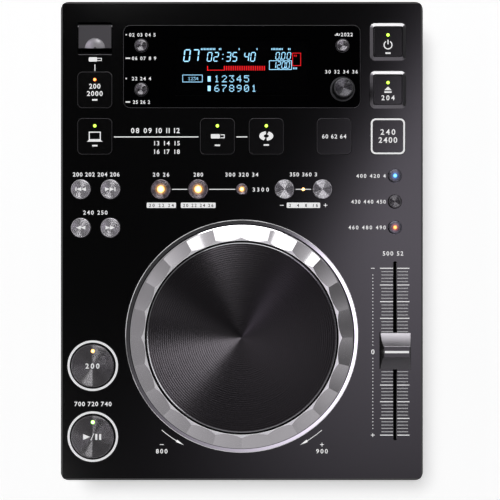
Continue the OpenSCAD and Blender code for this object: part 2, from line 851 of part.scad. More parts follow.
function board_feet(xs) = [for (x = [xs[0] + 6, xs[1] - 6], y = [board_front + 6, board_rear - 24])
  [x, y]];

module base_tray() color("#2a2b2e") in_case() difference() {
  union() {
    difference() {
      translate([0, 0, foot_h]) slab(tray_w, tray_d, tray_z - foot_h, case_r - skirt_t + 0.5);
      translate([0, 0, floor_z])
        slab(tray_w - 2 * tray_t, tray_d - 2 * tray_t, tray_z, case_r - skirt_t - 0.5);
    }
    for (at = concat(board_feet(main_board_x), board_feet(power_board_x)))
      translate([at[0], at[1], floor_z - over]) cylinder(r = boss_r, h = board_rise + over);
    for (at = drive_feet)
      translate([at[0], at[1], floor_z - over]) cylinder(r = boss_r, h = drive_z - floor_z + over);
  }
  for (at = foot_places())
    translate([at[0], at[1], foot_h - over]) cylinder(r = peg_r + loose, h = floor_t + 2 * over);
  for (at = columns) translate([at[0], at[1], foot_h - over]) {
    cylinder(r = screw_r + loose, h = floor_t + 2 * over);
    cylinder(r = screw_head_r + slide_fit, h = over + screw_head_h);
  }
  for (i = [-6:6]) translate([i * vent_pitch, 0, foot_h - over])
    slab(vent_w, vent_l, floor_t + 2 * over, vent_w / 2 - 0.01);
  block([-rear_w / 2 + 4, tray_d / 2 - tray_t - over, rear_panel_z[0] + 3],
        [rear_w / 2 - 4, tray_d / 2 + over, tray_z + over]);
  block([-front_panel_w / 2 - front_lip - slide_fit, -tray_d / 2 - over,
         front_panel_z[0] - front_drop - slide_fit],
        [front_panel_w / 2 + front_lip + slide_fit, -tray_d / 2 + tray_t + over,
         front_panel_z[0] + tray_z]);
}

module rubber_feet() color(rubber_black) in_case() for (at = foot_places())
  translate(at) lathe([[0, foot_edge], [foot_r / 3, foot_edge], [foot_r / 2.25, 0],
    [foot_r - foot_edge, 0], [foot_r, foot_edge], [foot_r - foot_edge / 2, foot_h],
    [peg_r, foot_h], [peg_r, floor_z + peg_h], [0, floor_z + peg_h]]);

// Front insert with the disc slot, held by a lip behind the skirt
module front_panel() color(panel_black) in_case() difference() {
  union() {
    block([-front_panel_w / 2, front, front_panel_z[0]],
          [front_panel_w / 2, front + skirt_t + 0.1, front_panel_z[1]]);
    block([-front_panel_w / 2 - front_lip, front + skirt_t + 0.1, front_panel_z[0] - front_drop],
          [front_panel_w / 2 + front_lip, front + skirt_t + front_lip_t,
           front_panel_z[1] + front_lip]);
  }
  translate([0, front + skirt_t, slot_z + slot_h / 2]) rotate([90, 0, 0])
    translate([0, 0, -2 * skirt_t]) slab(slot_l, slot_h, 4 * skirt_t, slot_h / 2 - 0.4);
}

module rear_panel() color("#303135") in_case() difference() {
  translate([0, panel_in, 0])
    block([-rear_w / 2, 0, rear_panel_z[0]], [rear_w / 2, rear_t, rear_panel_z[1]]);
  translate([0, panel_in - over, socket_z]) {
    for (x = jack_x) translate([x, 0, 0]) rotate([-90, 0, 0])
      cylinder(r = jack_hole_r, h = rear_t + 2 * over);
    translate([control_x, 0, 0]) rotate([-90, 0, 0])
      cylinder(r = control_r + control_wall + 2 * socket_seat, h = rear_t + 2 * over);
    block([link_x - link_size[0] / 2 - socket_seat, 0, -link_size[1] / 2 - socket_seat],
          [link_x + link_size[0] / 2 + socket_seat, rear_t + 2 * over,
           link_size[1] / 2 + socket_seat]);
    block([mains_x - mains_size[0] / 2 - socket_seat, 0, -mains_size[1] / 2 - socket_seat],
          [mains_x + mains_size[0] / 2 + socket_seat, rear_t + 2 * over,
           mains_size[1] / 2 + socket_seat]);
  }
  for (x = [-1, 1]) translate([x * (rear_w / 2 - 8), panel_in - over, rear_panel_z[0] + 1.8])
    rotate([-90, 0, 0]) cylinder(r = 0.9, h = rear_t + 2 * over);
}

// Case screws from below, and the screw with its washer on the jog post
module fasteners() color(bright_metal) in_case() {
  for (at = columns) translate([at[0], at[1], foot_h]) lathe([
    [0, 0], [screw_head_r, 0], [screw_head_r, screw_head_h], [screw_r, screw_head_h],
    [screw_r, screw_l], [0, screw_l + screw_tip]]);
  translate([0, jog_y, deck_z + post_top]) {
    ring(screw_r + 2 * loose, washer_r, washer_t);
    lathe([[0, -post_screw_l], [screw_r, -post_screw_l + screw_tip], [screw_r, washer_t + loose],
           [screw_head_r, washer_t + loose], [screw_head_r, washer_t + post_screw_head_h],
           [0, washer_t + post_screw_head_h + 0.4]]);
  }
}

// ---------------------------------------------------------------- display and trim

module display_window() color("#08080c") in_case() translate([0, 0, deck_z]) difference() {
  translate([0, window_y, window_low]) slab(window_w, window_l, window_t, window_r);
  translate([0, 0, window_low - over]) {
    for (at = window_controls)
      translate(at) cylinder(r = window_button_r + key_gap, h = window_t + 2 * over);
    translate(knob_at) cylinder(r = shaft_r + key_gap, h = window_t + 2 * over);
  }
}

module display_module() color("#101820") on_deck([0, window_y]) {
  high = window_low - display_gap;
  block([-display_w / 2, -display_l / 2, board_top], [display_w / 2, display_l / 2, high - 1.1]);
  block([-display_w / 2 + 3, -display_l / 2 + 2, high - 1.1],
        [display_w / 2 - 3, display_l / 2 - 2, high]);
}

module trim_rings() color(bright_metal) {
  on_deck([0, jog_y]) lathe([[well_r, 0], [well_r + jog_ring_w, 0],
    [well_r + jog_ring_w, ring_h - ring_bevel], [well_r + jog_ring_w - ring_bevel, ring_h],
    [well_r + ring_bevel, ring_h], [well_r, ring_h - ring_bevel]]);
  for (at = [cue_at, play_at]) on_deck(at) ring(cue_ring_r - cue_ring_w, cue_ring_r, ring_h);
}

// ---------------------------------------------------------------- boards and switches

module key_board() color(board_green) in_case() translate([0, 0, deck_z + board_top - board_t])
  difference() {
    block([-case_w / 2 + skirt_t + 1.5, front + skirt_t + 2, 0],
          [case_w / 2 - skirt_t - 1.5, rear - skirt_t - 2.5, board_t]);
    translate([0, jog_y, -over]) cylinder(r = well_r + well_t + 1, h = board_t + 2 * over);
    block([0, front, -over], [case_w / 2, fader_y + track_l / 2 + 1, board_t + over]);
    block([-case_w / 2 + 40, front, -over], [1, jog_y, board_t + over]);
    for (at = columns) translate([at[0], at[1], -over])
      cylinder(r = column_r + 1, h = board_t + 2 * over);
    translate([port_x, plug_y, -over])
      slab(plug_shell[0] + 0.4, plug_shell[1] + 0.4, board_t + 2 * over, 0.8);
  }

// Switch under each key, and the rotary switch under the knob
module key_switches() color("#b9bcc2") {
  for (at = switch_places) on_deck(at) translate([0, 0, board_top]) {
    translate([-switch_w / 2, -switch_w / 2, 0])
      cube([switch_w, switch_w, switch_h - actuator_h]);
    cylinder(r = actuator_r, h = switch_h);
  }
  on_deck(knob_at) translate([0, 0, board_top]) difference() {
    union() {
      translate([-rotary_w / 2, -rotary_w / 2, 0]) cube([rotary_w, rotary_w, rotary_h]);
      cylinder(r = rotary_bush_r, h = rotary_bush_h);
    }
    translate([0, 0, rotary_floor]) cylinder(r = shaft_r + 2 * loose, h = rotary_bush_h);
  }
}

// A board with its larger components
module board_with(xs, parts) {
  translate([xs[0], board_front, lower_board_z])
    cube([xs[1] - xs[0], board_rear - board_front, board_t]);
  for (p = parts)
    translate([xs[0] + p[0], board_front + p[1], lower_board_top]) cube([p[2], p[3], p[4]]);
}

module main_board() color(board_green) in_case() board_with(main_board_x, main_parts);

module power_board() color("#7a5a2a") in_case() {
  board_with(power_board_x, power_parts);
  for (at = capacitors) translate([power_board_x[0] + at[0], board_front + at[1], lower_board_top])
    cylinder(r = capacitor_r, h = capacitor_h);
}

// ---------------------------------------------------------------- sockets

module usb_port() color(bright_metal) on_deck([port_x, plug_y]) {
  shell_w = plug_shell[0];
  shell_l = plug_shell[1];
  translate([0, 0, plug_low]) difference() {
    slab(shell_w, shell_l, plug_top - plug_low, plug_shell_t);
    translate([0, 0, over]) slab(shell_w - 2 * plug_shell_t, shell_l - 2 * plug_shell_t,
                                 plug_top - plug_low, plug_shell_t / 1.5);
  }
  block([-tongue_w / 2, -shell_l / 2 + plug_shell_t, plug_low + over / 2],
        [tongue_w / 2, -shell_l / 2 + plug_shell_t + tongue_t, plug_top - over]);
  translate([0, 0, board_top]) difference() {
    slab(shell_w + 2 * flare_w, shell_l + 2 * flare_w, flare_t, plug_shell_t + flare_t);
    translate([0, 0, -over])
      slab(shell_w - plug_shell_t / 1.5, shell_l - plug_shell_t / 1.5, flare_t + 2 * over,
           plug_shell_t / 1.5);
  }
}

module output_jacks() color(bright_metal) in_case() {
  for (x = jack_x) translate([x, 0, 0]) {
    translate([0, panel_in, socket_z]) rotate([-90, 0, 0]) lathe([
      [jack_r - jack_wall, -jack_root], [jack_collar_r, -jack_root],
      [jack_collar_r, rear_t + jack_collar], [jack_r, rear_t + jack_collar],
      [jack_r, rear + jack_reach - panel_in],
      [jack_r - jack_wall, rear + jack_reach - panel_in]]);
    block([-jack_body[0] / 2, panel_in - jack_root - jack_body[1], lower_board_top],
          [jack_body[0] / 2, panel_in - jack_root, socket_z + jack_body[0] / 2 + jack_root]);
  }
  translate([control_x, 0, 0]) difference() {
    union() {
      block([-control_body[0] / 2, panel_in - 1 - control_body[1], lower_board_top],
            [control_body[0] / 2, panel_in - 1, socket_z + control_body[0] / 2]);
      translate([0, panel_in - 1.5, socket_z]) rotate([-90, 0, 0])
        cylinder(r = control_r + control_wall, h = rear_t + 2);
    }
    translate([0, panel_in - control_depth, socket_z]) rotate([-90, 0, 0])
      cylinder(r = control_r, h = control_depth + rear_t + 2 * over);
  }
}

module link_port() color("#d8d9db") in_case() translate([link_x, 0, socket_z]) {
  w = link_size[0];
  h = link_size[1];
  low = panel_in - link_depth;
  difference() {
    union() {
      block([-w / 2, low, -h / 2], [w / 2, panel_out + 0.2, h / 2]);
      block([-w / 2, low, -socket_h], [w / 2, panel_in - socket_seat, -h / 2 + over]);
    }
    block([-w / 2 + link_wall, low + link_depth / 3, -h / 2 + link_wall],
          [w / 2 - link_wall, panel_out + over, h / 2 - link_wall]);
  }
  block([-link_tongue[0] / 2, low + link_depth / 4, -link_tongue[1] / 2],
        [link_tongue[0] / 2, panel_out - over, link_tongue[1] / 2]);
}

module mains_inlet() color(rubber_black) in_case() translate([mains_x, 0, socket_z]) {
  w = mains_size[0];
  h = mains_size[1];
  low = panel_in - mains_depth;
  difference() {
    union() {
      block([-w / 2, low, -h / 2], [w / 2, panel_out + mains_rim, h / 2]);
      block([-w / 2, low, -socket_h], [w / 2, panel_in - socket_seat, -h / 2 + over]);
    }
    translate([0, panel_out + mains_rim + over, 0]) rotate([90, 0, 0])
      slab(mains_mouth[0], mains_mouth[1], mains_mouth[2], mains_mouth_r);
  }
  for (x = [-1, 1]) translate([x * pin_pitch / 2, panel_out - mains_mouth[2] + 2, 0])
    rotate([-90, 0, 0]) cylinder(r = pin_r, h = pin_l);
}

// ---------------------------------------------------------------- jog dial

module jog_pedestal() color("#8f9398") on_deck([0, jog_y]) difference() {
  lathe([[0, well_floor], [pedestal_r, well_floor], [pedestal_r, well_floor + pedestal_t],
         [post_r, well_floor + pedestal_t], [post_r, post_top], [0, post_top]]);
  translate([0, 0, post_top - post_screw_l - screw_tip])
    cylinder(r = screw_r + loose, h = post_screw_l + screw_tip + over);
}

// Cutter for one finger facet: a long shallow cylinder lying on the dial's slope
module facet_cutter() translate([facet_in_r * cos(facet_half), 0, jog_h])
  rotate([0, 90 + facet_slope, 0]) translate([-(facet_r - facet_dish), 0, -7])
    cylinder(r = facet_r, h = 22);

module jog_dial() color("#a9adb3") on_deck([0, jog_y]) difference() {
  lathe([
    [post_r + post_fit, hub_low], [hub_r, hub_low], [hub_r, web_low],
    [jog_r - dial_wall, web_low], [jog_r - dial_wall, dial_low], [jog_r, dial_low],
    [jog_r, wall_h], [shoulder_r, shoulder_h], [facet_out_r, facet_h], [facet_in_r, jog_h],
    [recess_r, jog_h], [recess_r, web_top], [washer_pocket_r, web_top],
    [washer_pocket_r, post_top - slide_fit], [post_r + post_fit, post_top - slide_fit]]);
  for (i = [0:facets - 1]) rotate([0, 0, 90 + facet_half + i * 360 / facets]) facet_cutter();
}

module jog_plate() color("#26272b") on_deck([0, jog_y]) {
  plate_r = recess_r - plate_gap;
  lathe([[0, plate_low], [plate_r, plate_low], [plate_r, jog_h - plate_edge_h],
         [plate_r - plate_bevel, jog_h], [0, jog_h]]);
}

// ---------------------------------------------------------------- tempo fader

module fader_track() color("#6d7176") on_deck([fader_x, fader_y])
  translate([0, 0, under - track_h]) difference() {
    translate([-track_w / 2, -track_l / 2, 0]) cube([track_w, track_l, track_h]);
    translate([-track_w / 2 + track_wall, -track_l / 2 + track_wall, track_wall])
      cube([track_w - 2 * track_wall, track_l - 2 * track_wall, track_h - 2 * track_wall]);
    translate([0, 0, track_h - track_wall - over])
      slab(slot_w, slot_travel_l, track_wall + 2 * over, slot_w / 2 - 0.01);
  }

module fader_lever() color(bright_metal) on_deck([fader_x, fader_y]) {
  carriage_w = track_w - 2 * track_wall - 2 * slide_fit;
  block([-carriage_w / 2, -lever_l / 2 - 1, carriage_low],
        [carriage_w / 2, lever_l / 2 + 1, carriage_low + carriage_h]);
  block([-lever_t / 2, -lever_l / 2, carriage_low + carriage_h],
        [lever_t / 2, lever_l / 2, cap_gap + socket_depth]);
}

// Cap with two hollow slopes on either side of its flat middle
module fader_cap() color("#55565a") on_deck([fader_x, fader_y]) {
  half = cap_l / 2;
  rise = cap_h - cap_gap - cap_skirt - cap_edge;
  run = half - cap_mid / 2;
  difference() {
    rotate([90, 0, 0]) linear_extrude(cap_l, center = true) polygon([
      [-cap_w / 2, cap_gap], [cap_w / 2, cap_gap], [cap_w / 2, cap_gap + cap_skirt],
      [cap_w / 2 - cap_taper, cap_h], [-cap_w / 2 + cap_taper, cap_h],
      [-cap_w / 2, cap_gap + cap_skirt]]);
    for (s = [-1, 1]) translate([0, s * half, cap_h])
      slope_cutter(s, run, rise);
    translate([-lever_t / 2 - loose, -lever_l / 2 - loose, cap_gap - over])
      cube([lever_t + 2 * loose, lever_l + 2 * loose, socket_depth + over + loose]);
  }
}

// Takes away one hollow slope of the cap: a wedge and a shallow cylinder below it
module slope_cutter(side, run, rise) {
  length = norm([run, rise]);
  bow_r = (pow(length / 2, 2) + pow(cap_hollow, 2)) / (2 * cap_hollow);
  angle = atan(rise / run);
  rotate([90, 0, 90]) linear_extrude(cap_w + 2 * over, center = true)
    polygon([[-side * run, 0], [side * over, -rise], [side * over, over], [-side * run, over]]);
  translate([0, -side * run / 2, -rise / 2]) rotate([side * -angle, 0, 0])
    translate([0, 0, bow_r - cap_hollow]) rotate([0, 90, 0])
      cylinder(r = bow_r, h = cap_w + 2 * over, center = true);
}

// ---------------------------------------------------------------- door and knob

module usb_door() color("#5c5d60") in_case() translate([port_x, 0, deck_z]) {
  pin_l = port_w + 2 * port_wall - 1.4;
  dish_sphere_r = (pow(dish_r, 2) + pow(dish_t, 2)) / (2 * dish_t);
  difference() {
    intersection() {
      union() {
        block([-door_w / 2, door_front, door_top - door_t], [door_w / 2, hinge_y, door_top]);
        translate([0, hinge_y, hinge_z]) rotate([0, 90, 0])
          cylinder(r = door_t / 2, h = door_w, center = true);
      }
      translate([0, door_front + door_l / 2 - door_r, door_top - door_t - over])
        slab(door_w, door_l + 2 * door_r + 2 * over, door_t + 2 * over, door_r);
    }
    translate([0, door_front, door_top - dish_t + dish_sphere_r])
      sphere(r = dish_sphere_r, $fn = 128);
  }
  translate([0, hinge_y, hinge_z]) rotate([0, 90, 0])
    cylinder(r = hinge_r, h = pin_l, center = true);
}

module select_plunger() color(bright_metal) on_deck(knob_at)
  translate([0, 0, plunger_low]) cylinder(r = shaft_r, h = knob_h - knob_wall - plunger_low);

module select_knob() color(spun_metal) on_deck(knob_at) difference() {
  lathe([[0, knob_low], [knob_r, knob_low], [knob_r, knob_low + knob_foot_h],
         [knob_grip_r, knob_low + knob_foot_h + knob_slope],
         [knob_grip_r - slide_fit, knob_h - knob_slope],
         [knob_grip_r - slide_fit - knob_slope, knob_h], [0, knob_h]]);
  translate([0, 0, knob_low - over])
    cylinder(r = shaft_r + run_fit, h = knob_h - knob_wall + 2 * loose - knob_low + over);
}

// ---------------------------------------------------------------- disc drive

module drive_tray() color("#54585d") in_case() difference() {
  union() {
    block([-drive_w / 2, drive_front, drive_z], [drive_w / 2, drive_rear, drive_z + sheet_t]);
    for (s = [-1, 1]) translate([s * (drive_w / 2 - sheet_t / 2), 0, 0])
      block([-sheet_t / 2, drive_front, drive_z], [sheet_t / 2, drive_rear, drive_top]);
    block([-drive_w / 2, drive_rear - sheet_t, drive_z], [drive_w / 2, drive_rear, drive_top]);
    for (x = [-rod_pitch / 2, rod_pitch / 2], y = [rod_front, rod_rear - rod_block])
      block([x - rod_block_w / 2, y, drive_z],
            [x + rod_block_w / 2, y + rod_block, rod_z + rod_r + 2]);
  }
  for (x = [-rod_pitch / 2, rod_pitch / 2])
    translate([x, rod_front - over, rod_z]) rotate([-90, 0, 0])
      cylinder(r = rod_r + loose, h = rod_rear - rod_front + 2 * over);
  translate([0, roller_y, roller_z]) rotate([0, 90, 0])
    cylinder(r = spindle_shaft_r + run_fit, h = drive_w + 2 * over, center = true);
}

module drive_cover() color("#7d8187") in_case() difference() {
  block([-drive_w / 2, drive_front, drive_top], [drive_w / 2, drive_rear, drive_top + sheet_t]);
  translate([0, spindle_y, drive_top - over])
    cylinder(r = clamp_neck_r + slide_fit, h = sheet_t + 2 * over);
}

module spindle_motor() color(bright_metal) in_case() translate([0, spindle_y, 0]) difference() {
  translate([0, 0, drive_z + sheet_t])
    cylinder(r = motor_r, h = motor_top - drive_z - sheet_t);
  translate([0, 0, drive_z + sheet_t + motor_floor])
    cylinder(r = spindle_shaft_r + run_fit, h = motor_top - drive_z);
}

module turntable() color("#35363a") in_case() translate([0, spindle_y, 0]) lathe([
  [0, drive_z + sheet_t + motor_floor + shaft_foot],
  [spindle_shaft_r, drive_z + sheet_t + motor_floor + shaft_foot],
  [spindle_shaft_r, motor_top + slide_fit], [turntable_hub_r, motor_top + slide_fit],
  [turntable_hub_r, turntable_z], [turntable_r, turntable_z],
  [turntable_r, turntable_z + turntable_t], [centring_r, turntable_z + turntable_t],
  [centring_r - centring_h, turntable_z + turntable_t + centring_h],
  [0, turntable_z + turntable_t + centring_h]]);

module clamp_disc() color("#45474c") in_case()
  translate([0, spindle_y, drive_top - slide_fit - clamp_flange_t]) lathe([
    [0, 0], [clamp_flange_r, 0], [clamp_flange_r, clamp_flange_t],
    [clamp_neck_r, clamp_flange_t], [clamp_neck_r, clamp_flange_t + sheet_t + 2 * slide_fit],
    [clamp_flange_r, clamp_flange_t + sheet_t + 2 * slide_fit],
    [clamp_flange_r, 2 * clamp_flange_t + sheet_t + 2 * slide_fit],
    [0, 2 * clamp_flange_t + sheet_t + 2 * slide_fit]]);

module feed_roller() color(rubber_black) in_case() translate([0, roller_y, roller_z])
  rotate([0, 90, 0]) {
    cylinder(r = roller_r, h = roller_l, center = true);
    translate([0, 0, -drive_w / 2 + slide_fit])
      cylinder(r = spindle_shaft_r, h = drive_w - slide_fit + gear_shaft_l);
  }

// Geared motor on the drive's right wall, in line with the roller
module loading_motor() color("#9a9da2") in_case()
  translate([drive_w / 2, roller_y, roller_z]) rotate([0, 90, 0]) difference() {
    cylinder(r = gear_motor_r, h = gear_motor_l);
    translate([0, 0, -over]) cylinder(r = spindle_shaft_r + run_fit, h = gear_shaft_l + 1 + over);
  }

module sled_rods() color(bright_metal) in_case() for (x = [-rod_pitch / 2, rod_pitch / 2])
  translate([x, rod_front, rod_z]) rotate([-90, 0, 0])
    cylinder(r = rod_r, h = rod_rear - rod_front);

module pickup_sled() color("#2f3136") in_case() difference() {
  union() {
    block([-sled_half_w, lens_y - sled_front, sled_z],
          [sled_half_w, lens_y + sled_back, sled_z + sled_h]);
    translate([0, lens_y, sled_z + sled_h]) cylinder(r = lens_r, h = lens_h);
  }
  for (x = [-rod_pitch / 2, rod_pitch / 2])
    translate([x, lens_y - sled_front - over, rod_z]) rotate([-90, 0, 0])
      cylinder(r = rod_r + run_fit, h = sled_front + sled_back + 2 * over);
}

// ---------------------------------------------------------------- nodes

top_cover();
base_tray();
front_panel();
rear_panel();
rubber_feet();
fasteners();
display_window();
display_module();
trim_rings();
usb_port();
output_jacks();
link_port();
mains_inlet();
key_board();
key_switches();
main_board();
power_board();
jog_pedestal();
jog_dial();
jog_plate();
fader_track();
fader_lever();
fader_cap();
usb_door();
select_plunger();
select_knob();
drive_tray();
drive_cover();
spindle_motor();
loading_motor();
sled_rods();
turntable();
clamp_disc();
feed_roller();
pickup_sled();
time_mode_button();
display_button();
back_button();
usb_stop_button();
pc_source_button();
usb_source_button();
disc_source_button();
playlist_button();
bpm_lock_button();
power_button();
eject_button();
track_back_button();
track_forward_button();
search_back_button();
search_forward_button();
loop_in_button();
loop_out_button();
reloop_button();
beat_minus_button();
beat_plus_button();
vinyl_mode_button();
tempo_range_button();
master_tempo_button();
cue_button();
play_button();
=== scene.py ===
"""Looks of the tabletop disc player, laid out as a Blender add-on and run as a script."""

import math

import bpy
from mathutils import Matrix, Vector


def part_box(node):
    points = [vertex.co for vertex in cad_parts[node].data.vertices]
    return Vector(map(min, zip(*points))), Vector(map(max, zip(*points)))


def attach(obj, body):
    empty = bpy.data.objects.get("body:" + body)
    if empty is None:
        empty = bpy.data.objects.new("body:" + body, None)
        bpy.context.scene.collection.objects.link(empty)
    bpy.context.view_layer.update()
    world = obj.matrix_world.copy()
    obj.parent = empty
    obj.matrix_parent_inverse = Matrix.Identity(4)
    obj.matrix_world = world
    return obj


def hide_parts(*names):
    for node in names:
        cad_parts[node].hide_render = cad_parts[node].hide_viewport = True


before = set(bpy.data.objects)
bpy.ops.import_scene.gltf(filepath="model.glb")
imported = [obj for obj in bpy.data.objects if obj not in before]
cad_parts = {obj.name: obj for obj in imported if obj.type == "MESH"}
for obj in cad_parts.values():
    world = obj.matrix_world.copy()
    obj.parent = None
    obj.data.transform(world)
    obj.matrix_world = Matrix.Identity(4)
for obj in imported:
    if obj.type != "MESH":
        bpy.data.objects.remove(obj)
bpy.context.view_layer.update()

bl_info = {
    "name": "Tabletop disc player looks",
    "version": (1, 0, 0),
    "blender": (4, 5, 0),
    "location": "View3D > Sidebar > Player",
    "description": "Finishes, marks, lights and stage for the tabletop disc player",
    "category": "Object",
}

MM = 0.001
FULL = 360.0
INK = 0.04  # thickness of a printed mark, mm
SUNK = 0.03  # how far a mark or lens reaches into the face below it, mm
CASE = "chassis"
ORIGIN = (0.0, 0.0, 0.0)
BLACK, WHITE = (0.0, 0.0, 0.0), (1.0, 1.0, 1.0)

LIT_KEYS = {  # square key: its lamp, and the heights of the lamp and the dash above its middle
    "usb_stop_button": ("lamp_orange", 6.2, -6.0),
    "pc_source_button": ("lamp_green", 6.3, -5.6),
    "usb_source_button": ("lamp_green", 6.3, -5.4),
    "disc_source_button": ("lamp_green", 6.3, -5.2),
    "power_button": ("lamp_green", 4.1, -6.8),
    "eject_button": ("lamp_green", 4.3, None),
}
SOURCE_KEYS = ("pc_source_button", "usb_source_button", "disc_source_button")
FRAMED_KEYS = ("power_button", "eject_button")
KEY_MARKS = {  # parts of each square key's mark, around its middle
    "usb_stop_button": [
        ("figures", "200", (0.0, 2.3), 3.0, 6.8), ("figures", "2000", (0.0, -2.1), 3.0, 9.5),
    ],
    "pc_source_button": [
        ("bar", (-3.3, -2.1), (-3.3, 2.5), 0.6), ("bar", (3.3, -2.1), (3.3, 2.5), 0.6),
        ("bar", (-3.6, 2.5), (3.6, 2.5), 0.6), ("bar", (-3.6, -2.0), (3.6, -2.0), 0.6),
        ("prism", [(-4.8, -3.2), (4.8, -3.2), (3.6, -2.3), (-3.6, -2.3)]),
    ],
    "usb_source_button": [
        ("plate", (-1.2, 0.0), 5.4, 2.6),
        ("bar", (1.9, -0.9), (4.3, -0.9), 0.5), ("bar", (1.9, 0.9), (4.3, 0.9), 0.5),
        ("bar", (4.1, -1.15), (4.1, 1.15), 0.5),
    ],
    "disc_source_button": [
        ("arc", (0.0, 0.2), 1.0, 2.8, 20.0, 155.0, 48, 1.5),
        ("arc", (0.0, 0.2), 1.0, 2.8, 200.0, 155.0, 48, 1.5),
    ],
    "playlist_button": [("figures", "60 62 64", (0.0, 0.0), 2.5, 14.6)],
    "bpm_lock_button": [
        ("figures", "240", (0.0, 2.7), 3.4, 8.9), ("figures", "2400", (0.0, -2.1), 3.4, 11.2),
    ],
    "power_button": [
        ("arc", (0.0, -1.9), 2.05, 2.7, 32.0, 296.0), ("bar", (0.0, -1.5), (0.0, 1.3), 0.65),
    ],
    "eject_button": [
        ("prism", [(-2.2, -0.3), (2.2, -0.3), (0.0, 2.0)]),
        ("bar", (-2.2, -1.4), (2.2, -1.4), 0.9), ("figures", "204", (0.0, -4.7), 3.0, 8.0),
    ],
}
TRANSPORT_MARKS = {  # parts of the cue and play buttons' marks
    "cue_button": [("figures", "200", (0.0, 0.0), 3.1, 8.4)],
    "play_button": [
        ("prism", [(-5.6, -1.75), (-1.5, 0.0), (-5.6, 1.75)]),
        ("bar", (-1.0, -2.0), (0.7, 2.0), 0.35),
        ("bar", (2.3, -1.75), (2.3, 1.75), 1.2), ("bar", (4.6, -1.75), (4.6, 1.75), 1.2),
    ],
}
ROUND_CAPS = {  # round button: finish of its cap, depth of its hollow face, radius of its lip
    "track_back_button": ("button_metal", 0.25, 0.6),
    "track_forward_button": ("button_metal", 0.25, 0.6),
    "search_back_button": ("button_metal", 0.25, 0.6),
    "search_forward_button": ("button_metal", 0.25, 0.6),
    "beat_minus_button": ("button_beat", 0.25, 0.6),
    "beat_plus_button": ("button_beat", 0.25, 0.6),
    "time_mode_button": ("button_window", 0.25, 0.8),
    "display_button": ("button_window", 0.25, 0.8),
    "back_button": ("button_window", 0.25, 0.8),
    "loop_in_button": ("button_amber", 0.25, 0.45),
    "loop_out_button": ("button_amber", 0.25, 0.45),
    "reloop_button": ("button_reloop", 0.25, 0.45),
    "vinyl_mode_button": ("button_blue", 0.15, 0.9),
    "tempo_range_button": ("button_mode", 0.15, 0.9),
    "master_tempo_button": ("button_red", 0.15, 0.9),
}
LIT_ROUNDS = ("loop_in_button", "loop_out_button", "reloop_button")
MODE_LAMPS = {"vinyl_mode_button": "lamp_blue", "master_tempo_button": "lamp_orange"}
ARROW_BUTTONS = {  # button: way of its arrow heads, and whether they meet a stop bar
    "track_back_button": (-1, True), "track_forward_button": (1, True),
    "search_back_button": (-1, False), "search_forward_button": (1, False),
}
DECK_TEXTS = (  # figures, middle in plan, height and width
    ("08 09 10 11 12", (-52.0, 62.5), 3.1, 29.3), ("13 14 15", (-45.0, 54.9), 2.7, 15.4),
    ("16 17 18", (-45.0, 49.8), 2.7, 15.4), ("200 202 204 206", (-87.6, 36.1), 2.5, 28.1),
    ("240 250", (-88.1, 13.2), 2.5, 14.6), ("3300", (11.4, 27.0), 2.5, 9.75),
    ("350 360 3", (37.0, 36.1), 2.4, 16.3), ("700 720 740", (-89.5, -101.9), 2.7, 22.3),
    ("500 52", (90.9, -11.4), 2.6, 12.4), ("800", (-48.2, -130.3), 2.7, 7.0),
    ("900", (48.2, -130.3), 2.7, 7.0),
)
LOOP_TEXTS = {  # figures above a lit button, and their width
    "loop_in_button": ("20 26", 9.9), "loop_out_button": ("280", 5.8),
    "reloop_button": ("300 320 34", 19.8),
}
MODE_TEXTS = {  # figures beside a mode button, and their width
    "vinyl_mode_button": ("400 420 4", 17.7), "tempo_range_button": ("430 440 450", 20.8),
    "master_tempo_button": ("460 480 490", 22.5),
}
BADGES = (  # left and right end, figures
    (-57.2, -39.6, "20 22 24"), (-36.7, -15.8, "20 22 24 26"), (27.0, 47.1, "2 4 8 16"),
)
WINDOW_TEXTS = {  # start beside the button, figures, width and dash of the upper and lower line
    "time_mode_button": ((-7.3, "02 03 04 5", 15.9, 0.8), (-5.6, "06 07 8 9", 14.6, 2.8)),
    "display_button": ((-5.6, "22 24 4", 11.5, 0.8), (-5.0, "25 26 2", 10.3, 2.8)),
}
BACK_MARKS = [  # parts of the back button's mark, around the button
    ("figures", "2022", (2.6, 6.7), 2.2, 7.2), ("bar", (-4.6, 6.2), (-2.2, 6.2), 0.4),
    ("prism", [(-4.2, 6.9), (-2.8, 6.3), (-2.8, 7.6)]),
    ("arc", (-2.3, 6.55), 0.3, 0.7, 0.0, 180.0),
]
PORT_MARK = [  # parts of the stick mark below the port's door
    ("plate", (-1.2, 0.0), 5.0, 2.6), ("bar", (1.3, -0.7), (3.9, -0.7), 0.4),
    ("bar", (1.3, 0.7), (3.9, 0.7), 0.4), ("bar", (3.9, -0.9), (3.9, 0.9), 0.4),
]


# ------------------------------------------------------------------ places

def low_high(node):
    """Lowest and highest corner of a CAD node, in millimetres."""
    low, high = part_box(node)
    return low / MM, high / MM


def middle(node):
    """Middle of a CAD node in plan, in millimetres."""
    low, high = low_high(node)
    return ((low.x + high.x) / 2, (low.y + high.y) / 2)


def top(node):
    """Height of a CAD node's top, in millimetres."""
    return low_high(node)[1].z


def face_of(node):
    """Middle of a CAD node's top, in millimetres."""
    return (*middle(node), top(node))


DECK_THICK = 3.0
DECK = top("fader_track") + DECK_THICK


def put(name, data, place=ORIGIN):
    """Makes an object of some data and puts it in its place, in metres."""
    made = bpy.data.objects.new(name, data)
    made.location = place
    bpy.context.scene.collection.objects.link(made)
    return made


# ------------------------------------------------------------------ settings

def length(name, text, value, low, high):
    """A size in millimetres that the panel shows."""
    return bpy.props.FloatProperty(name=name, description=text, default=value, min=low, max=high)


def colour(name, text, value):
    """A linear colour that the panel shows."""
    return bpy.props.FloatVectorProperty(
        name=name, description=text, default=value, size=3, min=0.0, max=1.0, subtype="COLOR"
    )


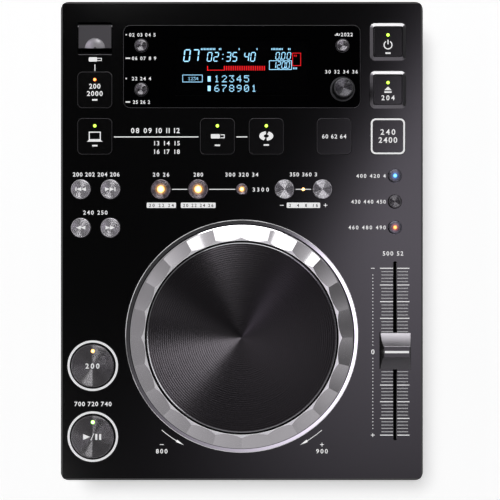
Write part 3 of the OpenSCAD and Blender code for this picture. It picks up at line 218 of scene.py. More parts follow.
def factor(name, text, value, high=100.0):
    """A plain number that the panel shows."""
    return bpy.props.FloatProperty(name=name, description=text, default=value, min=0.0, max=high)


class PlayerSizes(bpy.types.PropertyGroup):
    """Sizes of what the looks add to the solids, in millimetres."""

    edge: length("Edge", "Rounding of the deck's edges", 0.06, 0.0, 1.0)
    lamp: length("Lamp", "Radius of a lamp on a key", 1.0, 0.5, 2.0)
    line: length("Line", "Width of the printed lines", 0.45, 0.1, 1.0)
    groove: length("Groove", "Spacing of the rings on the dial's plate", 1.25, 0.6, 4.0)
    groove_depth: length("Groove depth", "Depth of those rings", 0.018, 0.0, 0.4)
    knurl: length("Knurl", "Depth of the ribs on the dial's wall", 0.22, 0.0, 0.6)


class PlayerColours(bpy.types.PropertyGroup):
    """Colours of the finishes, linear."""

    case: colour("Case", "Satin black of the case", (0.0006, 0.0006, 0.0007))
    key: colour("Keys", "Black of the square keys", (0.0006, 0.0006, 0.0007))
    ink: colour("Ink", "White of the printed marks", (0.90, 0.90, 0.90))
    spun: colour("Spun metal", "Metal of the round buttons", (0.46, 0.45, 0.47))
    dark_spun: colour("Dark metal", "Metal of the cue and play buttons", (0.15, 0.147, 0.152))
    dial: colour("Dial", "Polished metal of the dial", (0.80, 0.79, 0.81))
    plate: colour("Plate", "Dark metal of the dial's plate", (0.052, 0.048, 0.053))
    digits: colour("Digits", "Light of the display's figures", (0.36, 0.72, 1.0))
    red: colour("Red", "Light of the display's red parts", (0.85, 0.015, 0.02))
    green: colour("Green lamp", "Light of the green lamps", (0.50, 0.95, 0.03))
    amber: colour("Amber lamp", "Light of the amber lamps", (1.0, 0.42, 0.04))
    orange: colour("Orange lamp", "Light of the stop key's lamp", (1.0, 0.16, 0.02))
    blue: colour("Blue lamp", "Light of the blue lamp", (0.05, 0.32, 1.0))


class PlayerLight(bpy.types.PropertyGroup):
    """Strengths of the studio's lights."""

    key: factor("Key light", "Power of the high soft lamp, watts", 48.0, 1000.0)
    back: factor("Back card", "Strength of the soft box behind the player", 5.0)
    back_low: factor("Back card's foot", "Strength of the lower part of that soft box", 1.4)
    above: factor("Upper card", "Strength of the soft glow high above the deck's right", 2.65)
    corner: factor("Corner card", "Strength of the card high at the lower left", 4.4)
    side: factor("Left card", "Strength of the card high at the left", 0.9)
    wall: factor("Wall", "Strength of the dim wall around the studio", 1.0)
    foot: factor("Wall's foot", "Strength of the bright band at the wall's foot", 1.6)
    room: factor("Room", "Strength of the room's own light", 0.05)
    floor: factor("Floor", "How much the bright floor glows by itself", 0.47)


# ------------------------------------------------------------------ finishes

class Value:
    """A shader socket that can be added, multiplied and raised like a number."""

    def __init__(self, finish, socket):
        self.finish = finish
        self.socket = socket

    def __add__(self, other):
        return self.finish.math("ADD", self, other)

    def __sub__(self, other):
        return self.finish.math("SUBTRACT", self, other)

    def __rsub__(self, other):
        return self.finish.math("SUBTRACT", other, self)

    def __mul__(self, other):
        return self.finish.math("MULTIPLY", self, other)

    def __truediv__(self, other):
        return self.finish.math("DIVIDE", self, other)

    def __pow__(self, other):
        return self.finish.math("POWER", self, other)

    __radd__ = __add__
    __rmul__ = __mul__


class Finish:
    """Builds one material around a Principled shader."""

    def __init__(self, name, base=BLACK, **constants):
        self.name = name
        self.material = bpy.data.materials.new(name)
        self.material.use_nodes = True
        self.nodes = self.material.node_tree.nodes
        self.links = self.material.node_tree.links
        self.shader = self.nodes["Principled BSDF"]
        for socket, value in {"Base_Color": (*base, 1.0), **constants}.items():
            self.shader.inputs[socket.replace("_", " ")].default_value = value

    def node(self, kind, settings=None, sockets=None, output=0):
        """Makes a node: its settings first, then values and links for its sockets."""
        made = self.nodes.new(kind)
        for key, value in (settings or {}).items():
            setattr(made, key, value)
        for key, value in (sockets or {}).items():
            if isinstance(value, Value):
                self.links.new(value.socket, made.inputs[key])
            else:
                made.inputs[key].default_value = value
        return Value(self, made.outputs[output])

    def math(self, operation, *values):
        """A Math node."""
        return self.node("ShaderNodeMath", {"operation": operation}, dict(enumerate(values)))

    def vector(self, operation, *values, output=0):
        """A Vector Math node."""
        return self.node(
            "ShaderNodeVectorMath", {"operation": operation}, dict(enumerate(values)), output
        )

    def share(self, value):
        """A value kept between 0 and 1."""
        return self.math("MINIMUM", self.math("MAXIMUM", value, 0.0), 1.0)

    def mix(self, share, first, second):
        """Mix of two plain colours."""
        sockets = {0: share, 6: (*first, 1.0), 7: (*second, 1.0)}
        return self.node("ShaderNodeMix", {"data_type": "RGBA"}, sockets, 2)

    def feed(self, socket, value):
        """Links a varying value into the shader."""
        self.links.new(value.socket, self.shader.inputs[socket])
        return self

    def place(self):
        """Place on the object itself, in metres."""
        return self.node("ShaderNodeTexCoord", output="Object")

    def split(self, vector=None):
        """The three parts of a vector, or of the place on the object."""
        parts = self.nodes.new("ShaderNodeSeparateXYZ")
        self.links.new((vector or self.place()).socket, parts.inputs[0])
        return [Value(self, out) for out in parts.outputs]

    def grain(self, roughness, spread, scale=900.0, height=0.0):
        """Fine unevenness of the gloss, with a bump where the surface is textured."""
        sockets = {"Vector": self.place(), "Scale": scale, "Detail": 3.0, "Roughness": 0.5}
        cloud = self.node("ShaderNodeTexNoise", None, sockets, "Fac")
        self.feed("Roughness", roughness + (cloud - 0.5) * spread)
        if height:
            bump = {"Height": cloud, "Strength": 1.0, "Distance": height * MM}
            self.feed("Normal", self.node("ShaderNodeBump", None, bump))
        return self

    def spun(self, slope, rings, lean=0.5, waves=False):
        """Turned metal: each fine ring, or wave, tilts the surface along the radius."""
        x, y, _ = self.split()
        flat = self.node("ShaderNodeCombineXYZ", None, {0: x, 1: y, 2: 0.0})
        radius = self.vector("LENGTH", flat, output="Value")
        settings = {"vector_type": "VECTOR", "convert_from": "OBJECT", "convert_to": "WORLD"}
        away = self.node("ShaderNodeVectorTransform", settings,
                         {0: self.vector("NORMALIZE", flat)})
        ring = self.node(
            "ShaderNodeTexNoise", {"noise_dimensions": "1D"},
            {"W": radius * rings, "Scale": 1.0, "Detail": 3.0, "Roughness": 0.7}, "Fac",
        )
        if waves:
            drift = 9.0
            tilt = self.math("SINE", radius * (rings * math.tau) + ring * drift) * slope
        else:
            tilt = (ring - lean) * (2.0 * slope)
        push = self.vector("MULTIPLY", away, self.node(
            "ShaderNodeCombineXYZ", None, {0: tilt, 1: tilt, 2: 0.0}))
        normal = self.node("ShaderNodeNewGeometry", output="Normal")
        self.feed("Normal", self.vector("NORMALIZE", self.vector("ADD", normal, push)))
        return self

    def glow(self, hue, strength, radius, power=2.0):
        """Light that fades from the object's middle outwards."""
        x, y, _ = self.split()
        away = self.math("SQRT", x * x + y * y)
        share = self.math("MAXIMUM", 1.0 - away / (radius * MM), 0.0) ** power
        self.feed("Emission Color", self.mix(share, BLACK, hue))
        self.shader.inputs["Emission Strength"].default_value = strength


def lamp_finish(name, hue, strength, core=WHITE, white=0.0):
    """A lit lens: its hue, paler in the middle."""
    lens = Finish(name, base=hue, Roughness=0.2, Emission_Strength=strength)
    z = lens.split(lens.node("ShaderNodeNewGeometry", output="Normal"))[2]
    edge = 6.0
    return lens.feed("Emission Color", lens.mix((z ** edge) * white, hue, core))


def smoked_window():
    """Black glass that is clear only where the display lies below it."""
    glass = Finish("window", base=(0.0006, 0.0006, 0.0008), Specular_IOR_Level=0.05)
    wide, deep, clear = 40.0, 18.0, 0.58
    sides = [
        glass.math("LESS_THAN", glass.math("ABSOLUTE", part - at * MM), half * MM)
        for part, at, half in zip(glass.split(), middle("display_window"), (wide, deep))
    ]
    return glass.feed("Alpha", 1.0 - sides[0] * sides[1] * clear).grain(0.05, 0.02)


def make_finishes(tint):
    """All the finishes, in the given colours."""
    metal = {"Metallic": 1.0}
    plain = {  # base colour, then gloss, its spread, the grain's scale and depth, and the rest
        "case_plastic": (tint.case, (0.12, 0.02, 1500.0, 0.0006), {}),
        "panel_plastic": ((0.004, 0.004, 0.005), (0.12, 0.03), {}),
        "tray_steel": ((0.012, 0.012, 0.013), (0.45, 0.1, 700.0, 0.01), {}),
        "rubber": ((0.012, 0.012, 0.012), (0.75, 0.1, 900.0, 0.02), {}),
        "screw_steel": ((0.62, 0.63, 0.65), (0.28, 0.15, 1200.0), metal),
        "display_glass": ((0.001, 0.001, 0.0015), (0.4, 0.05), {"Specular_IOR_Level": 0.05}),
        "trim_chrome": ((0.93, 0.93, 0.95), (0.06, 0.02), metal),
        "socket_steel": ((0.72, 0.72, 0.74), (0.22, 0.08), metal),
        "socket_plastic": ((0.65, 0.65, 0.66), (0.3, 0.06), {}),
        "inlet_plastic": ((0.012, 0.012, 0.012), (0.4, 0.08), {}),
        "circuit_board": ((0.01, 0.10, 0.035), (0.35, 0.1), {}),
        "power_board": ((0.30, 0.18, 0.07), (0.5, 0.1), {}),
        "switch_plastic": ((0.5, 0.5, 0.52), (0.4, 0.06), {}),
        "drive_steel": ((0.5, 0.51, 0.53), (0.35, 0.15, 300.0), metal),
        "motor_steel": ((0.55, 0.56, 0.58), (0.3, 0.1), metal),
        "drive_plastic": ((0.02, 0.02, 0.022), (0.45, 0.08), {}),
        "dial_metal": (tint.dial, (0.13, 0.05, 2500.0, 0.0006), metal),
        "dial_bright": ((0.95, 0.95, 0.96), (0.08, 0.03), metal),
        "plate_edge": ((0.28, 0.28, 0.29), (0.12, 0.03), metal),
        "dial_dark": ((0.05, 0.05, 0.055), (0.25, 0.06), metal),
        "fader_plastic": ((0.010, 0.010, 0.011), (0.16, 0.03), {}),
        "fader_metal": ((0.31, 0.30, 0.32), (0.42, 0.04), metal),
        # Darker, dull finish for the front slopes of the fader's cap: painted shade.
        "fader_front_painted_shade": ((0.105, 0.10, 0.11), (0.6, 0.05), {"Specular_IOR_Level": 0.2}),
        # Near black and almost without gloss, for the fader's slot: painted shade.
        "slot_painted_shade": ((0.002, 0.002, 0.002), (0.8, 0.05), {"Specular_IOR_Level": 0.05}),
        "dust_strip": ((0.13, 0.12, 0.135), (0.8, 0.05), {"Specular_IOR_Level": 0.2}),
        "door_plastic": ((0.062, 0.058, 0.065), (0.45, 0.05, 1800.0, 0.002),
                         {"Specular_IOR_Level": 0.3}),
        # Lighter finish for the door's edges and pale metal for its scoop: painted highlights.
        "door_rim_painted_highlight": ((0.16, 0.155, 0.165), (0.4, 0.05), {"Specular_IOR_Level": 0.3}),
        "door_dish_painted_highlight": ((0.42, 0.41, 0.43), (0.32, 0.04), {"Metallic": 0.85}),
        "knob_plastic": ((0.03, 0.03, 0.033), (0.3, 0.05), {"Metallic": 0.6}),
        "frame_metal": ((0.26, 0.25, 0.27), (0.2, 0.03), metal),
        # Lighter and darker copies of the frame metal: painted highlight and painted shade.
        "pale_painted_highlight": ((0.85, 0.85, 0.86), (0.3, 0.03), {"Metallic": 0.5}),
        "dark_painted_shade": ((0.03, 0.03, 0.032), (0.3, 0.03), {"Metallic": 0.6}),
        # Lighter finish for the window's edges and the door opening's front edge: painted edge
        # highlight.
        "edge_painted_highlight": ((0.13, 0.125, 0.135), (0.35, 0.03), {"Metallic": 0.3}),
        # Lighter finish for the edges of the keys: painted edge highlight.
        "key_edge_painted_highlight": ((0.07, 0.067, 0.073), (0.35, 0.03), {"Metallic": 0.3}),
        # Pale finish that glows by itself, for the tops of the cue and play rings: painted glow.
        "ring_painted_glow": ((0.80, 0.80, 0.81), (0.3, 0.05), {"Emission_Strength": 0.24}),
        "key_plastic": (tint.key, (0.16, 0.03), {}),
        # White print, with a glow of its own added so that it reads bright: the glow is painted
        # light.
        "ink": (tint.ink, (0.5, 0.05), {"Emission_Strength": 0.25}),
        "ink_grey": ((0.62, 0.62, 0.63), (0.5, 0.05), {}),
        "ink_black": ((0.02, 0.02, 0.02), (0.5, 0.05), {}),
    }
    noise, waves = (1.1, 60000.0), (0.5, 50000.0, 0.5, True)
    turned = {  # base colour, metal, gloss, how it is turned, and its own light
        "plate_disc": (tint.plate, 1.0, 0.2, (0.12, 9000.0, -0.45), None),
        "button_metal": (tint.spun, 0.82, 0.22, (0.9, 60000.0), None),
        "button_window": ((0.19, 0.185, 0.195), 1.0, 0.11, noise, None),
        "button_beat": ((0.33, 0.325, 0.34), 1.0, 0.11, waves, None),
        "button_dark": (tint.dark_spun, 1.0, 0.11, waves, None),
        "button_mode": ((0.09, 0.088, 0.092), 1.0, 0.11, waves, None),
        "knob_top": ((0.10, 0.10, 0.105), 1.0, 0.11, (1.2, 50000.0), None),
        "button_amber": ((0.23, 0.20, 0.215), 1.0, 0.12, noise, (tint.amber, 3.0, 4.2)),
        "button_reloop": ((0.23, 0.20, 0.215), 1.0, 0.12, noise, (tint.amber, 3.0, 2.6)),
        "button_blue": ((0.10, 0.10, 0.115), 1.0, 0.15, (0.35, 14000.0),
                        (tint.blue, 0.7, 3.0, 1.5)),
        "button_red": ((0.10, 0.10, 0.115), 1.0, 0.15, (0.35, 14000.0),
                       ((0.9, 0.12, 0.05), 0.7, 3.0, 1.5)),
    }
    lamps = {  # hue, strength, colour of the pale middle and how pale it is
        "lamp_green": (tint.green, 1.6, (1.0, 1.0, 0.35), 0.5),
        "lamp_amber": (tint.amber, 2.2, (1.0, 0.95, 0.55), 0.8),
        "lamp_orange": (tint.orange, 1.8, (1.0, 0.7, 0.2), 0.9),
        "lamp_blue": (tint.blue, 1.8, (0.3, 0.85, 1.0), 0.8),
        "lamp_play": ((0.30, 0.95, 0.05), 2.4, (1.0, 1.0, 0.85), 0.9),
        "digit_light": (tint.digits, 4.2),
        "red_light": (tint.red, 3.2),
    }
    made = [Finish(name, base=base, **rest).grain(*grain)
            for name, (base, grain, rest) in plain.items()]
    for name, (base, metallic, gloss, turning, light) in turned.items():
        made.append(Finish(name, base=base, Metallic=metallic, Roughness=gloss).spun(*turning))
        if light:
            made[-1].glow(*light)
    made += [lamp_finish(name, *values) for name, values in lamps.items()] + [smoked_window()]
    return {finish.name: finish.material for finish in made}


FINISHES = {}


def finish_of(name):
    """A finish by its name; the first call makes them all."""
    if not FINISHES:
        FINISHES.update(make_finishes(bpy.context.scene.player_colours))
    return FINISHES[name]


# ------------------------------------------------------------------ shapes

def turn(angle, radius, at=(0.0, 0.0)):
    """Point at an angle in degrees, counted clockwise from the rear."""
    a = math.radians(angle)
    return (at[0] + radius * math.sin(a), at[1] + radius * math.cos(a))


def rounded(width, depth, radius, at):
    """Outline of a rectangle with round corners."""
    steps = 8
    points = []
    for start, sx, sy in ((0, 1, 1), (90, -1, 1), (180, -1, -1), (270, 1, -1)):
        for i in range(steps + 1):
            a = math.radians(start + 90 * i / steps)
            points.append((
                at[0] + sx * (width / 2 - radius) + radius * math.cos(a),
                at[1] + sy * (depth / 2 - radius) + radius * math.sin(a),
            ))
    return points


class Shape:
    """Collects faces in millimetres and makes one object of them."""

    def __init__(self, low=0.0, high=0.0):
        """The two heights are those between which flat marks lie."""
        self.heights = (low, high)
        self.points = []
        self.faces = []
        self.slots = []

    def add(self, points, faces, slot=0):
        first = len(self.points)
        self.points.extend(points)
        self.faces.extend([first + i for i in face] for face in faces)
        self.slots.extend([slot] * len(faces))

    def grid(self, rows, slot=0, closed=True, turned=False):
        """Skin between rows of points; each row is closed on itself by default."""
        count = len(rows[0])
        faces = []
        for r in range(len(rows) - 1):
            for i in range(count if closed else count - 1):
                j = (i + 1) % count
                face = [r * count + i, r * count + j, (r + 1) * count + j, (r + 1) * count + i]
                faces.append(face[::-1] if turned else face)
        self.add([p for row in rows for p in row], faces, slot)

    def prism(self, outline, slot=0):
        """Upright prism over an outline that runs anticlockwise."""
        count = len(outline)
        faces = [list(range(count))[::-1], list(range(count, 2 * count))]
        for i in range(count):
            j = (i + 1) % count
            faces.append([i, j, count + j, count + i])
        self.add([(x, y, z) for z in self.heights for x, y in outline], faces, slot)

    def bar(self, a, b, width, slot=0):
        """Straight bar between two points."""
        a, b = Vector(a), Vector(b)
        along = (b - a).normalized() * (width / 2)
        side = Vector((-along.y, along.x))
        self.prism([a - side, b - side, b + side, a + side], slot)

    def arc(self, at, inner, outer, start, sweep, steps=48, stretch=1.0):
        """Part of a flat ring, closed at both ends."""
        low, high = self.heights
        rings = []
        for radius, z in ((inner, low), (outer, low), (outer, high), (inner, high), (inner, low)):
            places = [turn(start + sweep * i / steps, radius) for i in range(steps + 1)]
            rings.append([(at[0] + x * stretch, at[1] + y, z) for x, y in places])
        self.grid(rings, 0, False)
        for i, face in ((0, [0, 1, 2, 3]), (steps, [3, 2, 1, 0])):
            self.add([ring[i] for ring in rings[:4]], [face])

    def lathe(self, profile, steps, at, slot=0, ribs=None):
        """Turned piece from (radius, height) points, from the outer foot to the top's middle."""
        angles = [FULL * i / steps for i in range(steps)]
        self.grid([
            [(*turn(a, radius + (ribs(a, radius, z) if ribs else 0.0), at), z) for a in angles]
            for radius, z in profile
        ], slot, True, True)

    def lens(self, at, radius, low, rise, slot=0):
        """Domed lens of a lamp."""
        dome = ((1.0, 0.15), (0.9, 0.55), (0.6, 0.88), (0.25, 1.0), (0.0, 1.0))
        self.lathe([(radius, low - SUNK)] + [(radius * r, low + rise * z) for r, z in dome],
                   24, at, slot)

    def figures(self, text, at, height, width, slot=0, share=0.5, heights=None):
        """Plain figures, spread over a width, with a share of them left of their place."""
        glyphs = [glyph_of(sign) for sign in text]
        gaps = len(text) - 1
        bare = sum(glyph["width"] for glyph in glyphs)
        gap = (width / height - bare) / max(1, gaps)
        pen = -share * (bare + gap * gaps)
        for glyph in glyphs:
            flat = [(at[0] + (pen + x) * height, at[1] + (y - 0.5) * height)
                    for x, y in glyph["points"]]
            pen += glyph["width"] + gap
            count = len(flat)
            faces = [face[::-1] for face in glyph["faces"]]
            faces += [[count + i for i in face] for face in glyph["faces"]]
            faces += [[a, b, count + b, count + a] for a, b in glyph["rim"]]
            self.add([(x, y, z) for z in heights or self.heights for x, y in flat], faces, slot)

    def marks(self, parts, at):
        """The parts of a mark, as its table lists them, around a place."""
        def shifted(point):
            return (at[0] + point[0], at[1] + point[1])

        for kind, first, *rest in parts:
            if kind == "figures":
                self.figures(first, shifted(rest[0]), *rest[1:])
            elif kind == "bar":
                self.bar(shifted(first), shifted(rest[0]), rest[1])
            elif kind == "prism":
                self.prism([shifted(point) for point in first])
            elif kind == "plate":
                self.prism(rounded(*rest, 0.5, shifted(first)))
            else:
                self.arc(shifted(first), *rest)

    def make(self, name, body, finishes, slot, at, sharp=35.0):
        """The object, riding on its body."""
        mesh = bpy.data.meshes.new(name)
        mesh.from_pydata(
            [((x - at[0]) * MM, (y - at[1]) * MM, (z - at[2]) * MM) for x, y, z in self.points],
            [], self.faces,
        )
        for finish in finishes:
            mesh.materials.append(finish_of(finish))
        mesh.polygons.foreach_set("material_index", self.slots)
        mesh.shade_smooth()
        mesh.set_sharp_from_angle(angle=math.radians(sharp))
        mesh.update()
        made = put(name, mesh, Vector(at) * MM)
        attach(made, body)
        return made


GLYPHS = {}


def glyph_of(sign):
    """Outline of one figure, one unit high, from Blender's own font."""
    if sign in GLYPHS:
        return GLYPHS[sign]
    text = bpy.data.curves.new("glyph", "FONT")
    text.body = sign
    text.size = 1.0
    text.resolution_u = 3
    text.offset = 0.02
    holder = put("glyph", text)
    mesh = holder.to_mesh()
    points = [(v.co.x, v.co.y) for v in mesh.vertices]
    faces = [list(p.vertices) for p in mesh.polygons]
    holder.to_mesh_clear()
    bpy.data.objects.remove(holder)
    bpy.data.curves.remove(text)
    cap, width = 0.73, 0.3  # height of the font's figures, and width of a space
    if points:
        left = min(x for x, _ in points)
        points = [((x - left) / cap, y / cap) for x, y in points]
        width = max(x for x, _ in points)

    def sides(face):
        return [(face[i - 1], face[i]) for i in range(len(face))]

    for face in faces:
        if sum(points[a][0] * points[b][1] - points[b][0] * points[a][1]
               for a, b in sides(face)) < 0:
            face.reverse()
    edges = dict.fromkeys(side for face in faces for side in sides(face))
    rim = [(a, b) for a, b in edges if (b, a) not in edges]
    GLYPHS[sign] = {"points": points, "faces": faces, "rim": rim, "width": width}
    return GLYPHS[sign]


# ------------------------------------------------------------------ CAD nodes

def dress(node, finish, edge=0.0, rim=None):
    """Gives a CAD node its finish and, where asked, softly rounded edges in a finish of theirs;
    that edge finish is a lighter one, a painted edge highlight.
    """
    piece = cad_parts[node]
    piece.data.materials.clear()
    piece.data.materials.append(finish_of(finish))
    piece.data.shade_smooth()
    sharp = math.radians(30.0)
    if not edge:
        piece.data.set_sharp_from_angle(angle=sharp)
        return
    if rim:
        piece.data.materials.append(finish_of(rim))
    for name, kind, settings in (
        ("weld", "WELD", {"merge_threshold": 0.01 * MM}),
        ("flat", "DECIMATE", {"decimate_type": "DISSOLVE", "angle_limit": math.radians(0.5),
                              "delimit": {"MATERIAL"}}),
        ("edge", "BEVEL", {"width": edge * MM, "segments": 3, "limit_method": "ANGLE",
                           "angle_limit": sharp, "miter_outer": "MITER_ARC",
                           "material": 1 if rim else -1}),
        ("normals", "WEIGHTED_NORMAL", {"weight": 100}),
    ):
        added = piece.modifiers.new(name, kind)
        for key, value in settings.items():
            setattr(added, key, value)


def paint(node, finish, chosen):
    """Gives another finish to the faces that a test picks by middle and normal."""
    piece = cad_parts[node]
    piece.data.materials.append(finish_of(finish))
    slot = len(piece.data.materials) - 1
    for face in piece.data.polygons:
        if chosen(face.center / MM, face.normal):
            face.material_index = slot


# ------------------------------------------------------------------ pieces

class PlayerOperator(bpy.types.Operator):
    """Base of this file's operators."""

    bl_options = {"REGISTER"}

    def execute(self, context):
        self.make(context.scene.player_sizes)
        return {"FINISHED"}


class PLAYER_OT_case(PlayerOperator):
    """Finishes the case, its tray, panels and feet"""

    bl_idname = "player.case"
    bl_label = "Case"

    def make(self, sizes):
        dress("top_cover", "case_plastic", sizes.edge)
        dress("front_panel", "panel_plastic", 0.3)
        for node, finish in {
            "base_tray": "tray_steel", "rear_panel": "tray_steel", "rubber_feet": "rubber",
            "fasteners": "screw_steel", "trim_rings": "trim_chrome",
        }.items():
            dress(node, finish)
        dial = middle("jog_dial")
        rim, reach, level, tilted = 69.0, 75.0, 0.2, 0.9

        def away(at):
            return math.hypot(at.x - dial[0], at.y - dial[1])

        # Cue and play rings: painted shade on their sides and bevels, and a pale top that glows by
        # itself, a painted glow. The sloped faces of the dial's trim ring get a painted highlight.
        paint("trim_rings", "dark_painted_shade", lambda at, way: away(at) > reach)
        paint("trim_rings", "ring_painted_glow", lambda at, way: away(at) > reach and way.z > tilted)
        paint("trim_rings", "pale_painted_highlight",
              lambda at, way: rim < away(at) < reach and level < way.z < tilted)
        frames = [middle(node) for node in FRAMED_KEYS]
        foot, steep, flat, span, side = DECK + 0.05, 0.3, 0.98, 16.0, 0.35

        def slope(at, way):
            return (at.z > foot and steep < way.z < flat
                    and any(max(abs(at.x - x), abs(at.y - y)) < span for x, y in frames))

        # Frames round the power and eject keys: metal slopes, with a painted highlight on the
        # slopes that face the rear and painted shade on those that face right.
        paint("top_cover", "frame_metal", slope)
        paint("top_cover", "pale_painted_highlight", lambda at, way: slope(at, way) and way.y > side)
        paint("top_cover", "dark_painted_shade",
              lambda at, way: slope(at, way) and way.x > side and abs(way.y) < side)


class PLAYER_OT_inside(PlayerOperator):
    """Finishes the sockets, boards and the disc drive"""

    bl_idname = "player.inside"
    bl_label = "Inside"

    def make(self, sizes):
        for finish, nodes in {
            "socket_steel": ("usb_port", "output_jacks"), "socket_plastic": ("link_port",),
            "inlet_plastic": ("mains_inlet",), "circuit_board": ("key_board", "main_board"),
            "switch_plastic": ("key_switches",), "power_board": ("power_board",),
            # The fader's track is near black and almost without gloss: painted shade in its deep
            # slot.
            "slot_painted_shade": ("fader_track",), "display_glass": ("display_module",),
            "screw_steel": ("fader_lever", "select_plunger", "sled_rods"),
            "drive_steel": ("jog_pedestal", "drive_tray", "drive_cover"),
            "motor_steel": ("spindle_motor", "loading_motor"), "rubber": ("feed_roller",),
            "drive_plastic": ("turntable", "clamp_disc", "pickup_sled"),
        }.items():
            for node in nodes:
                dress(node, finish)


def key_mark(node, parts, finishes):
    """One piece with all the marks and lamps of a key, riding on it."""
    parts.make(node.replace("_button", "_marks"), node, finishes, None, face_of(node))


class PLAYER_OT_keys(PlayerOperator):
    """Finishes the square keys, with their lamps and marks"""

    bl_idname = "player.keys"
    bl_label = "Keys"

    def make(self, sizes):
        dash, thick = 1.6, 0.95
        for node, parts in KEY_MARKS.items():
            # Each key's rounded edges are in a lighter finish: a painted edge highlight.
            dress(node, "key_plastic", 0.2, "key_edge_painted_highlight")
            x, y, high = face_of(node)
            lamp, lamp_y, dash_y = LIT_KEYS.get(node, (None, None, None))
            shape = Shape(high - SUNK, high + INK)
            shape.marks(parts, (x, y))
            if dash_y is not None:
                shape.bar((x - dash, y + dash_y), (x + dash, y + dash_y), thick)
            if lamp:
                shape.lens((x, y + lamp_y), sizes.lamp, high, 0.5, 1)
            key_mark(node, shape, ["ink", lamp or "ink"])


def button_cap(node, finish, dish, lip):
    """A turned button that stands for its CAD node: rounded rim and slightly hollow face."""
    low, high = low_high(node)
    flange, ledge, thick, stem, below = (high.x - low.x) / 2, 1.0, 1.2, 1.6, 1.4
    radius, foot = flange - ledge, DECK - DECK_THICK - below
    rim = foot + thick
    profile = [(stem, low.z), (stem, foot), (flange, foot), (flange, rim), (radius, rim)]
    bends, steps = 6, 72
    for i in range(bends + 1):
        a = math.radians(90 * i / bends)
        profile.append((radius - lip * (1 - math.cos(a)), high.z - lip * (1 - math.sin(a))))
    for share in (0.96, 0.85, 0.7, 0.5, 0.3, 0.12, 0.0):
        profile.append(((radius - lip) * share, high.z - dish * (1 - share * share)))
    shape = Shape()
    shape.lathe(profile, steps, middle(node))
    made = shape.make(node.replace("_button", "_cap"), node, [finish], "button_metal",
                      face_of(node), 30.0)
    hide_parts(node)
    return radius


def arrows(shape, x, y, way, stop):
    """Two filled arrow heads side by side, with a stop bar where asked."""
    size, half, beyond, thick = 2.8, 1.12, 0.35, 0.6
    for a in (x - size * way, x):
        outline = [(a, y - half), (a + size * way, y), (a, y + half)]
        shape.prism(outline if way > 0 else outline[::-1])
    if stop:
        edge = x + (size + beyond) * way
        shape.bar((edge, y - half), (edge, y + half), thick)


class PLAYER_OT_buttons(PlayerOperator):
    """Makes the turned round buttons, with their lamps and marks"""

    bl_idname = "player.buttons"
    bl_label = "Round buttons"

    def make(self, sizes):
        share, mode_lamp = 0.36, 1.15  # lamp's share of a lit button, and radius on a mode button
        for node, cap in ROUND_CAPS.items():
            radius = button_cap(node, *cap)
            x, y, high = face_of(node)
            shape = Shape()
            if node in LIT_ROUNDS:
                shape.lens((x, y), radius * share, high - 0.3, 0.55)
                key_mark(node, shape, ["lamp_amber"])
            elif node in MODE_LAMPS:
                shape.lens((x, y), mode_lamp, high - 0.2, 0.45)
                key_mark(node, shape, [MODE_LAMPS[node]])
        deep, hollow, shift = 0.35, 0.12, 0.3
        for node, (way, stop) in ARROW_BUTTONS.items():
            x, y, high = face_of(node)
            shape = Shape(high - deep, high + INK - hollow)
            arrows(shape, x - (shift * way if stop else 0.0), y, way, stop)
            key_mark(node, shape, ["ink"])


class PLAYER_OT_transport(PlayerOperator):
    """Makes the cue and play buttons"""

    bl_idname = "player.transport"
    bl_label = "Cue and play"

    def make(self, sizes):
        dish, lip, deep, proud = 0.3, 0.6, 0.1, 0.05
        lamp_x, lamp_y, larger, sunk, rise = 0.2, 8.9, 1.15, 0.2, 0.5
        for node, lamp in (("cue_button", "lamp_amber"), ("play_button", "lamp_play")):
            button_cap(node, "button_dark", dish, lip)
            x, y, high = face_of(node)
            shape = Shape(high - dish - deep, high - dish + INK + proud)
            shape.lens((x + lamp_x, y + lamp_y), sizes.lamp * larger, high - sunk, rise, 1)
            shape.marks(TRANSPORT_MARKS[node], (x, y))
            key_mark(node, shape, ["ink", lamp])


